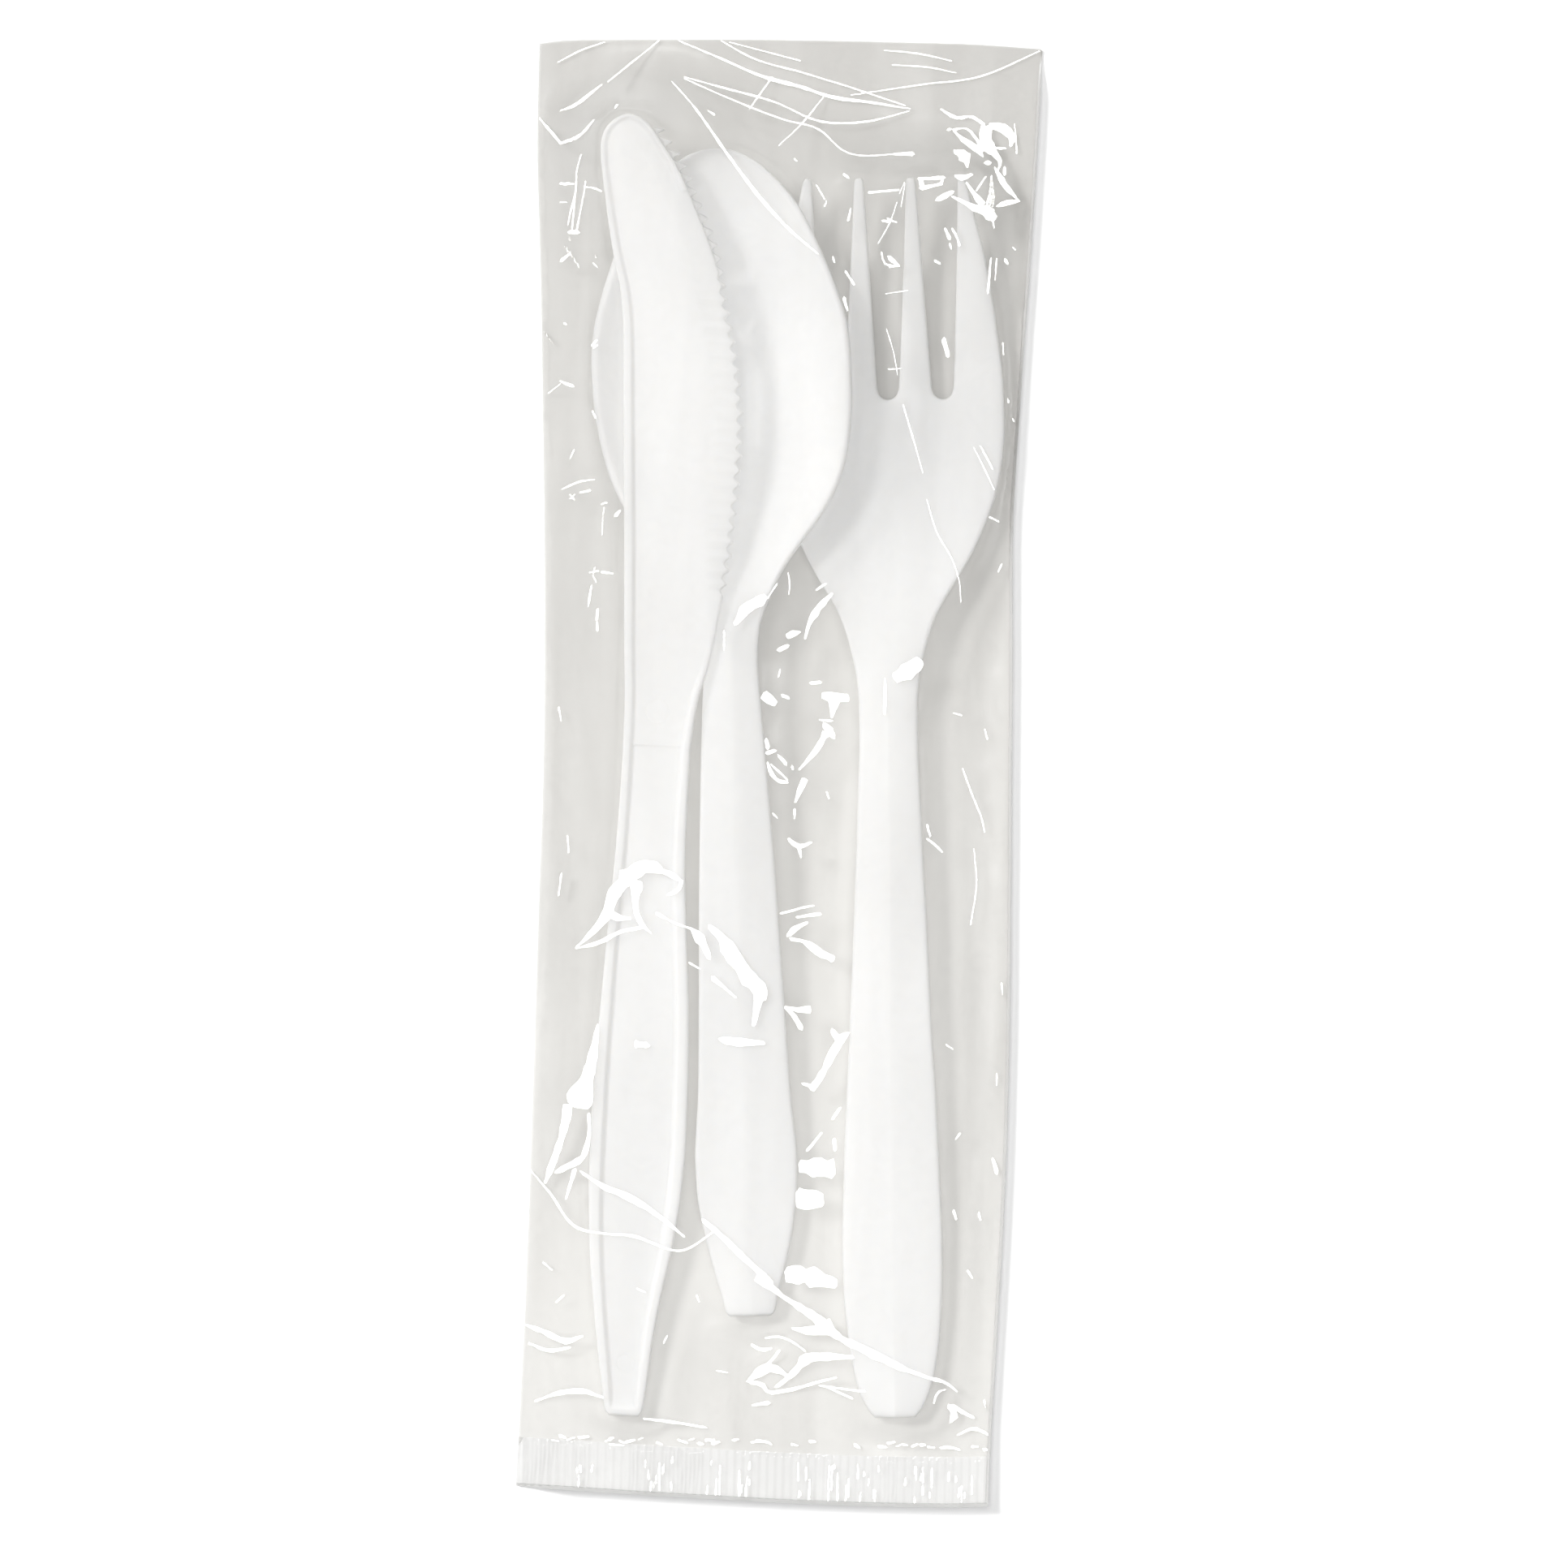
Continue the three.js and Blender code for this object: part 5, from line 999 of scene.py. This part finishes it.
def film_height(p):
    """Height of the upper film: the stretched sheet with its long low folds, never in the contents."""
    free = slack(p)
    h = sample(film_z, p)
    h = np.where(free > 0, np.maximum(h, .15), .15)
    h = h + wrinkles(p) * smooth(0, 3.0, free) * (.55 + .45 * smooth(.3, 2.5, h))
    low = np.where(sample(support, p) > 0, sample(support, p) + .12, .1)
    return np.minimum(np.maximum(h, np.where(free > 0, low, .1)), cad_box[1][2] / MM + 6)


top_z = film_height(P2)

# ---- the film as one mesh: upper sheet, sharp creases, lower sheet, crimp, turned-up edges
points = [(p[0], p[1], h) for p, h in zip(P2, top_z)]
faces = [tuple(int(k) for k in t) for t in T]
film_points, film_faces, face_kind = points, faces, [0] * len(faces)


def band(poly, u, lo, hi):
    """The part of a convex outline between two lines across the direction u."""
    for side, lim in ((1, lo), (-1, -hi)):
        out = []
        for k in range(len(poly)):
            a, b = poly[k], poly[(k + 1) % len(poly)]
            da, db = side * (a @ u) - lim, side * (b @ u) - lim
            if da >= 0:
                out.append(a)
            if (da >= 0) != (db >= 0):
                out.append(a + (b - a) * da / (da - db))
        poly = out
        if len(poly) < 3:
            return []
    return poly


# Each crease stands on the film as a row of narrow ridges. A ridge's lit face looks half-way between
# a light and the eye, and its back drops straight down to the film.
FACET = .45
ridges = []
for cells, aim in CREASES:
    for poly, shared in cells:
        c = poly.mean(0)
        g = crease_gradient(np.array([aim]), c[:1], c[1:])[0]
        rise = math.hypot(*g)
        u = g / rise
        t = poly @ u
        lo, hi = t.min(), t.max()
        n = max(1, int(math.ceil((hi - lo) / FACET)))
        w = (hi - lo) / n
        for k in range(n):
            part = band([q for q in poly], u, lo + k * w - 1e-7, lo + (k + 1) * w + 1e-7)
            if len(part) < 3:
                continue
            part = np.array(part)
            x, y = part.T
            a2 = (x * np.roll(y, -1) - np.roll(x, -1) * y).sum()
            if abs(a2) < 2e-3:
                continue
            if a2 < 0:
                part = part[::-1]
            ridges.append((part, rise * (part @ u - (lo + k * w)), [(poly[sd], poly[(sd + 1) % len(poly)] - poly[sd]) for sd in shared if sd >= 0]))
ridge_at = np.concatenate([r[0] for r in ridges])
ground_all = np.where(ridge_at[:, 1] < crimp_line(ridge_at[:, 0]) - .1, .5, film_height(ridge_at))
at = 0
for part, up, sides in ridges:
    m = len(part)
    ground = ground_all[at:at + m]
    at += m
    top = ground.max() + .02 + up
    base = len(film_points)
    film_points += [(q[0], q[1], h) for q, h in zip(part, top)] + [(q[0], q[1], h - .05) for q, h in zip(part, ground)]
    film_faces.append(tuple(range(base, base + m)))
    face_kind.append(1)
    for e in range(m):
        f = (e + 1) % m
        mid = (part[e] + part[f]) / 2
        if any(abs((mid - pa)[0] * d[1] - (mid - pa)[1] * d[0]) < 1e-6 * math.hypot(*d) + 1e-9 for pa, d in sides):
            continue
        film_faces.append((base + e, base + m + e, base + m + f, base + f))
        face_kind.append(1)

# lower layer: follows the surface the pack lies on
LOW = 1.6
low_pts = list(border)
n_b = len(border)
low_edges = [(k, (k + 1) % n_b) for k in range(n_b)]
lf = []
for j, y in enumerate(np.arange(-86, 92.4, LOW * .866)):
    for x in np.arange(-31.6 + (j % 2) * LOW / 2, 31.7, LOW):
        lf.append((x, y))
lf = np.array(lf)
lf = lf[slack(lf) + SIDE_WELD > .5]
low_pts += [tuple(p) for p in lf]
lv, le, lff, lov, loe, lof = delaunay_2d_cdt([Vector((float(a), float(b))) for a, b in low_pts], low_edges, [list(range(n_b))], 1, 1e-5)
low_z = [0.02 if slack(np.array([[v[0], v[1]]]))[0] > 0 else .06 for v in lv]
base = len(film_points)
film_points = film_points + [(v[0], v[1], h) for v, h in zip(lv, low_z)]
film_faces = film_faces + [tuple(base + k for k in f[::-1]) for f in lff if len(f) == 3]
face_kind += [0] * (len(film_faces) - len(face_kind))

# crimp: both layers pressed into one ribbed strip
ribs = int(round(float(right_edge(-88) - left_edge(-88)) / RIB_PITCH))
cols = ribs * 8
rows_t = np.concatenate([[0, .03, .08], np.linspace(.13, .94, 12), [.97, 1]])
base = len(film_points)
cr = []
rib_gain = rng.uniform(.45, .85, ribs + 1) + 1.15 * np.clip(np.convolve(rng.normal(0, 1, ribs + 5), np.ones(5) / 2.2, "valid"), 0, .9)
rib_gain2 = np.convolve(rng.normal(0, 1, ribs + 1), np.ones(4) / 4, "same")
for t in rows_t:
    for s in range(cols + 1):
        v = s / cols
        xt = mix(float(left_edge(-86)), float(right_edge(-86)), v)
        xb = mix(float(left_edge(-93.1)), float(right_edge(-93.1)), v)
        yb = float(bottom_edge(xb))
        x, y = mix(xt, xb, t), mix(float(crimp_line(xt)), yb, t)
        k = min(int(v * ribs), ribs)
        gain = rib_gain[k]
        ph = v * ribs * 2 * math.pi + .5 * math.sin(t * 5 + k)
        rise = .12 + .085 * gain * (1 + .25 * math.sin(t * 7 + 1.7 * k)) * math.cos(ph)
        wave = .12 * math.sin(x * .41 + 1.3 * t) + .1 * rib_gain2[k]
        edge_fade = smooth(0, .1, t)
        z_ = mix(.15, .3 + rise + wave, float(edge_fade))
        cr.append((x, y, max(z_, .04)))
film_points = film_points + cr
nc = cols + 1
crimp_faces = []
for j in range(len(rows_t) - 1):
    for s in range(cols):
        a, b_ = base + j * nc + s, base + j * nc + s + 1
        c_, d_ = base + (j + 1) * nc + s + 1, base + (j + 1) * nc + s
        crimp_faces.append((d_, c_, b_, a))
film_faces = film_faces + crimp_faces
face_kind += [2] * len(crimp_faces)

# the right and the lower edge of the pouch turn up from the table in a stiff narrow lip
LIP = .32
lip = [(float(right_edge(y)), y, 1.5 * float(smooth(92.6, 86, y))) for y in np.arange(92.6, -93.0, -1.2)]
lip = [(x, y, h + .4 * float(smooth(-80, -92, y))) for x, y, h in lip]
corner = float(right_edge(-93.1))
low_lip = [(float(x), float(bottom_edge(x)), .4 + 1.8 * float(smooth(float(left_edge(-93.1)), float(left_edge(-93.1)) + 6, x)))
           for x in np.arange(corner, float(left_edge(-93.1)) - .01, -1.0)]
base = len(film_points)
row = []
for n, (x, y, h) in enumerate(lip):
    row.append(((x - LIP, y, .08), (x - .1, y, h * .55), (x, y, max(h, .12))))
for n, (x, y, h) in enumerate(low_lip):
    row.append(((x, y + LIP, .08), (x, y + .1, h * .55), (x, y, max(h, .12))))
for a, b_, c_ in row:
    film_points += [a, b_, c_]
for n in range(len(row) - 1):
    for k in range(2):
        a = base + 3 * n + k
        film_faces.append((a, a + 1, a + 4, a + 3))
        face_kind.append(3)
film = mesh_object("film_wrap", film_points, film_faces)
face_kind = np.array(face_kind, dtype=np.int32)
assert len(film.data.polygons) == len(face_kind)
film.data.polygons.foreach_set("use_smooth", face_kind != 1)
film.data.polygons.foreach_set("material_index", face_kind)

# ------------------------------------------------------------------ materials


def material(name):
    m = bpy.data.materials.new(name)
    m.use_nodes = True
    nt = m.node_tree
    nt.nodes.clear()
    out = nt.nodes.new("ShaderNodeOutputMaterial")
    return m, nt, out


def moulded_plastic(name, tint=(1, 1, 1), seed=0.0):
    """White polypropylene: soft sheen, light that spreads a little inside, faint flow marks."""
    m, nt, out = material(name)
    N, L = nt.nodes, nt.links
    bsdf = N.new("ShaderNodeBsdfPrincipled")
    bsdf.inputs["Roughness"].default_value = .42
    bsdf.inputs["IOR"].default_value = 1.49
    bsdf.inputs["Subsurface Weight"].default_value = .85
    bsdf.inputs["Subsurface Radius"].default_value = (1.0, .96, .9)
    bsdf.inputs["Subsurface Scale"].default_value = .0028
    tex = N.new("ShaderNodeTexCoord")
    mp = N.new("ShaderNodeMapping")
    mp.inputs["Location"].default_value = (seed, seed * .7, 0)
    L.new(tex.outputs["Object"], mp.inputs["Vector"])
    flow = N.new("ShaderNodeTexNoise")
    flow.inputs["Scale"].default_value = 95
    flow.inputs["Detail"].default_value = 3
    L.new(mp.outputs[0], flow.inputs["Vector"])
    ramp = N.new("ShaderNodeValToRGB")
    ramp.color_ramp.elements[0].position, ramp.color_ramp.elements[1].position = .3, .7
    a = [.882 * t for t in tint]
    b = [.904 * t for t in tint]
    ramp.color_ramp.elements[0].color = (*a, 1)
    ramp.color_ramp.elements[1].color = (*b, 1)
    L.new(flow.outputs["Fac"], ramp.inputs["Fac"])
    L.new(ramp.outputs["Color"], bsdf.inputs["Base Color"])
    rough = N.new("ShaderNodeTexNoise")
    rough.inputs["Scale"].default_value = 700
    rough.inputs["Detail"].default_value = 2
    L.new(mp.outputs[0], rough.inputs["Vector"])
    rr = N.new("ShaderNodeMapRange")
    rr.inputs["To Min"].default_value, rr.inputs["To Max"].default_value = .36, .5
    L.new(rough.outputs["Fac"], rr.inputs["Value"])
    L.new(rr.outputs[0], bsdf.inputs["Roughness"])
    grain = N.new("ShaderNodeTexNoise")
    grain.inputs["Scale"].default_value = 2600
    grain.inputs["Detail"].default_value = 2
    L.new(mp.outputs[0], grain.inputs["Vector"])
    bump = N.new("ShaderNodeBump")
    bump.inputs["Strength"].default_value = .06
    bump.inputs["Distance"].default_value = .00006
    L.new(grain.outputs["Fac"], bump.inputs["Height"])
    L.new(bump.outputs[0], bsdf.inputs["Normal"])
    # the thin moulding glows through: its shadows are pale
    path = N.new("ShaderNodeLightPath")
    part = N.new("ShaderNodeMath")
    part.operation = "MULTIPLY"
    part.inputs[1].default_value = .65
    L.new(path.outputs["Is Shadow Ray"], part.inputs[0])
    through = N.new("ShaderNodeBsdfTransparent")
    thin = N.new("ShaderNodeMixShader")
    L.new(part.outputs[0], thin.inputs["Fac"])
    L.new(bsdf.outputs[0], thin.inputs[1])
    L.new(through.outputs[0], thin.inputs[2])
    L.new(thin.outputs[0], out.inputs["Surface"])
    return m


for ob, seed in ((knife, 0.0), (spoon, 3.1), (fork, 7.7)):
    ob.data.materials.append(moulded_plastic("white_plastic_" + ob.name.split("_")[0], (.985, .985, .985) if ob is fork else (1, 1, 1), seed))

def clear_film(name, dark, light, haze_range, mirror, roughness, milk=(.93, .93, .92), rib_shade_pitch=0):
    """Thin clear film: lets the view through with a faint warm grey, mirrors the lights, a little haze.
    It is a little greyer towards the top right, and streaked along its length with uneven tone that is partly painted
    sheen and shade of soft folds."""
    m, nt, out = material(name)
    N, L = nt.nodes, nt.links
    tex = N.new("ShaderNodeTexCoord")
    mp = N.new("ShaderNodeMapping")
    mp.inputs["Scale"].default_value = (1, .11, 1)
    L.new(tex.outputs["Object"], mp.inputs["Vector"])
    # streaks along the length: partly painted sheen and shade of soft folds in the film
    cloud = N.new("ShaderNodeTexNoise")
    cloud.inputs["Scale"].default_value = 150
    cloud.inputs["Detail"].default_value = 4
    cloud.inputs["Roughness"].default_value = .55
    cloud.inputs["Distortion"].default_value = .6
    L.new(mp.outputs[0], cloud.inputs["Vector"])
    sep = N.new("ShaderNodeSeparateXYZ")
    L.new(tex.outputs["Object"], sep.inputs[0])
    slope = N.new("ShaderNodeMath")
    slope.operation = "MULTIPLY_ADD"          # x * .2 + y
    slope.inputs[1].default_value = .2
    L.new(sep.outputs["X"], slope.inputs[0])
    L.new(sep.outputs["Y"], slope.inputs[2])
    where = N.new("ShaderNodeMapRange")
    where.inputs["From Min"].default_value, where.inputs["From Max"].default_value = .1, -.09
    where.inputs["To Min"].default_value, where.inputs["To Max"].default_value = -.28, .28
    L.new(slope.outputs[0], where.inputs["Value"])
    add = N.new("ShaderNodeMath")
    add.operation = "ADD"
    L.new(cloud.outputs["Fac"], add.inputs[0])
    L.new(where.outputs[0], add.inputs[1])
    ramp = N.new("ShaderNodeValToRGB")
    ramp.color_ramp.elements[0].position, ramp.color_ramp.elements[1].position = .2, .8
    ramp.color_ramp.elements[0].color = (*dark, 1)
    ramp.color_ramp.elements[1].color = (*light, 1)
    if rib_shade_pitch:                                   # painted light and shade of the ribs pressed across the seal: stripes in the tint at the rib pitch
        turn = N.new("ShaderNodeMath")
        turn.operation = "MULTIPLY"
        turn.inputs[1].default_value = 2 * math.pi / rib_shade_pitch
        L.new(sep.outputs["X"], turn.inputs[0])
        wave = N.new("ShaderNodeMath")
        wave.operation = "SINE"
        L.new(turn.outputs[0], wave.inputs[0])
        rib_shade = N.new("ShaderNodeMath")
        rib_shade.operation = "MULTIPLY_ADD"
        rib_shade.inputs[1].default_value = .3
        L.new(wave.outputs[0], rib_shade.inputs[0])
        L.new(add.outputs[0], rib_shade.inputs[2])
        add = rib_shade
    L.new(add.outputs[0], ramp.inputs["Fac"])
    clear = N.new("ShaderNodeBsdfTransparent")
    # painted shade: steep film is made greyer, standing for the dark reflection on the slopes of the film
    geo = N.new("ShaderNodeNewGeometry")
    up = N.new("ShaderNodeSeparateXYZ")
    L.new(geo.outputs["Normal"], up.inputs[0])
    flat = N.new("ShaderNodeMath")
    flat.operation = "ABSOLUTE"
    L.new(up.outputs["Z"], flat.inputs[0])
    steep_painted_shade = N.new("ShaderNodeMapRange")
    steep_painted_shade.interpolation_type = "SMOOTHSTEP"
    steep_painted_shade.inputs["From Min"].default_value, steep_painted_shade.inputs["From Max"].default_value = .74, .985
    steep_painted_shade.inputs["To Min"].default_value, steep_painted_shade.inputs["To Max"].default_value = .95, 1
    L.new(flat.outputs[0], steep_painted_shade.inputs["Value"])
    # painted shade: the part that lies over the fork's head is darkened as if in the shadow of the pieces around it
    shade_spot = N.new("ShaderNodeMapping")
    shade_spot.vector_type = "TEXTURE"
    shade_spot.inputs["Location"].default_value = (.017, .050, .004)
    shade_spot.inputs["Scale"].default_value = (.021, .046, .05)
    L.new(tex.outputs["Object"], shade_spot.inputs["Vector"])
    shade_falloff = N.new("ShaderNodeTexGradient")
    shade_falloff.gradient_type = "QUADRATIC_SPHERE"
    L.new(shade_spot.outputs[0], shade_falloff.inputs["Vector"])
    painted_shade = N.new("ShaderNodeMath")
    painted_shade.operation = "MULTIPLY_ADD"
    painted_shade.inputs[1].default_value, painted_shade.inputs[2].default_value = -.07, 1
    L.new(shade_falloff.outputs["Fac"], painted_shade.inputs[0])
    both = N.new("ShaderNodeMath")
    both.operation = "MULTIPLY"
    L.new(steep_painted_shade.outputs[0], both.inputs[0])
    L.new(painted_shade.outputs[0], both.inputs[1])
    # the tint carries the painted shade of steep film and of the area over the fork's head
    tint = N.new("ShaderNodeVectorMath")
    tint.operation = "SCALE"
    L.new(ramp.outputs["Color"], tint.inputs[0])
    L.new(both.outputs[0], tint.inputs["Scale"])
    L.new(tint.outputs[0], clear.inputs["Color"])
    haze = N.new("ShaderNodeBsdfDiffuse")
    haze.inputs["Color"].default_value = (*milk, 1)
    scuff = N.new("ShaderNodeTexNoise")
    scuff.inputs["Scale"].default_value = 420
    scuff.inputs["Detail"].default_value = 5
    scuff.inputs["Distortion"].default_value = 1.2
    L.new(tex.outputs["Object"], scuff.inputs["Vector"])
    sr = N.new("ShaderNodeMapRange")
    sr.inputs["From Min"].default_value, sr.inputs["From Max"].default_value = .35, .8
    sr.inputs["To Min"].default_value, sr.inputs["To Max"].default_value = haze_range
    L.new(scuff.outputs["Fac"], sr.inputs["Value"])
    body = N.new("ShaderNodeMixShader")
    L.new(sr.outputs[0], body.inputs["Fac"])
    L.new(clear.outputs[0], body.inputs[1])
    L.new(haze.outputs[0], body.inputs[2])
    gloss = N.new("ShaderNodeBsdfGlossy")
    gloss.inputs["Roughness"].default_value = roughness
    gloss.inputs["Color"].default_value = (1, 1, 1, 1)
    lw = N.new("ShaderNodeLayerWeight")
    lw.inputs["Blend"].default_value = .5
    pw = N.new("ShaderNodeMath")
    pw.operation = "POWER"
    pw.inputs[1].default_value = 4.5
    L.new(lw.outputs["Facing"], pw.inputs[0])
    fr = N.new("ShaderNodeMapRange")
    fr.inputs["To Min"].default_value, fr.inputs["To Max"].default_value = mirror, .9
    L.new(pw.outputs[0], fr.inputs["Value"])
    mixs = N.new("ShaderNodeMixShader")
    L.new(fr.outputs[0], mixs.inputs["Fac"])
    L.new(body.outputs[0], mixs.inputs[1])
    L.new(gloss.outputs[0], mixs.inputs[2])
    L.new(mixs.outputs[0], out.inputs["Surface"])
    return m


film.data.materials.append(clear_film("clear_film", (.856, .852, .843), (.922, .919, .911), (.012, .03), .02, .2))
film.data.materials.append(clear_film("creased_film", (.95, .948, .94), (.985, .983, .978), (.01, .03), .13, .04))
film.data.materials.append(clear_film("crimped_film", (.83, .827, .82), (.92, .918, .912), (.15, .18), .07, .08, (.74, .74, .73), .00103))
# the turned-up edge is milky film, its grey partly painted shade along the pouch's right and lower edge
film.data.materials.append(clear_film("sealed_edge", (.9, .9, .89), (.95, .95, .94), (.99, 1.0), .04, .3, (.64, .64, .63)))

# ------------------------------------------------------------------ floor, light, camera

floor_me = bpy.data.meshes.new("floor")
R = 6.0
floor_me.from_pydata([(-R, -R, -.0002), (R, -R, -.0002), (R, R, -.0002), (-R, R, -.0002)], [], [(0, 1, 2, 3)])
floor = bpy.data.objects.new("floor", floor_me)
scene.collection.objects.link(floor)
m, nt, out = material("pale_floor")
d = nt.nodes.new("ShaderNodeBsdfDiffuse")
d.inputs["Color"].default_value = (.9, .9, .9, 1)
nt.links.new(d.outputs[0], out.inputs["Surface"])
floor_me.materials.append(m)

world = bpy.data.worlds.new("studio")
scene.world = world
world.use_nodes = True
wn, wl = world.node_tree.nodes, world.node_tree.links
wn.clear()
wout = wn.new("ShaderNodeOutputWorld")
bg = wn.new("ShaderNodeBackground")
bg.inputs["Strength"].default_value = .26
tc = wn.new("ShaderNodeTexCoord")
sep = wn.new("ShaderNodeSeparateXYZ")
wl.new(tc.outputs["Generated"], sep.inputs[0])
wr = wn.new("ShaderNodeValToRGB")
wr.color_ramp.interpolation = "EASE"
e = wr.color_ramp.elements
# brightness by the height of the direction, and brighter walls on the left than on the right
e[0].position, e[0].color = 0.0, (.8, .8, .8, 1)
e[1].position, e[1].color = 1.0, (1.0, 1.0, 1.0, 1)
for pos, v in ((.5, .9), (.8, 1.0)):
    x = e.new(pos)
    x.color = (v, v, v, 1)
wl.new(sep.outputs["Z"], wr.inputs["Fac"])
wy = wn.new("ShaderNodeMath")
wy.operation = "MULTIPLY_ADD"                 # -.85 x + .45 y
wy.inputs[1].default_value = .45
wx = wn.new("ShaderNodeMath")
wx.operation = "MULTIPLY"
wx.inputs[1].default_value = -.85
wl.new(sep.outputs["X"], wx.inputs[0])
wl.new(sep.outputs["Y"], wy.inputs[0])
wl.new(wx.outputs[0], wy.inputs[2])
side = wn.new("ShaderNodeMapRange")
side.inputs["From Min"].default_value, side.inputs["From Max"].default_value = -1, 1
side.inputs["To Min"].default_value, side.inputs["To Max"].default_value = .85, 1.15
wl.new(wy.outputs[0], side.inputs["Value"])
both = wn.new("ShaderNodeVectorMath")
both.operation = "SCALE"
wl.new(wr.outputs["Color"], both.inputs[0])
wl.new(side.outputs[0], both.inputs["Scale"])
wl.new(both.outputs[0], bg.inputs["Color"])
wl.new(bg.outputs[0], wout.inputs["Surface"])


def panel(name, azimuth, polar, distance, size, radiance, colour=(1, 1, 1)):
    """A soft box seen from the pack at an azimuth from +X and an angle from the vertical, degrees."""
    a, p = math.radians(azimuth), math.radians(polar)
    loc = Vector((math.cos(a) * math.sin(p), math.sin(a) * math.sin(p), math.cos(p))) * distance
    li = bpy.data.lights.new(name, "AREA")
    li.shape = "RECTANGLE"
    li.size, li.size_y = size
    li.energy = radiance * math.pi * size[0] * size[1]
    li.color = colour
    ob = bpy.data.objects.new(name, li)
    ob.location = loc
    ob.rotation_euler = (-loc).to_track_quat("-Z", "Y").to_euler()
    ob.visible_camera = False
    scene.collection.objects.link(ob)
    return ob


for row in LIGHTS:
    panel(*row)
for row in SOFTBOXES:                     # polarised: they light the pack and leave no mirror image in the film
    panel(*row).visible_glossy = False

cam_data = bpy.data.cameras.new("camera")
cam = bpy.data.objects.new("camera", cam_data)
scene.collection.objects.link(cam)
cam_data.sensor_width = 36
cam_data.lens = 36 * 900 / 199.73
cam_data.clip_start, cam_data.clip_end = .01, 100
cam.location = (1.609 * MM, -1.696 * MM, 900 * MM)
cam.rotation_euler = (0, 0, math.radians(1.536))
scene.camera = cam
scene.view_settings.view_transform = "Standard"
scene.view_settings.look = "None"
scene.cycles.transparent_max_bounces = 24

for piece, node in ((knife, "knife"), (spoon, "spoon"), (fork, "fork")):
    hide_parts(node)
    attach(piece, "root")
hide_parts("film_pouch")
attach(film, "root")
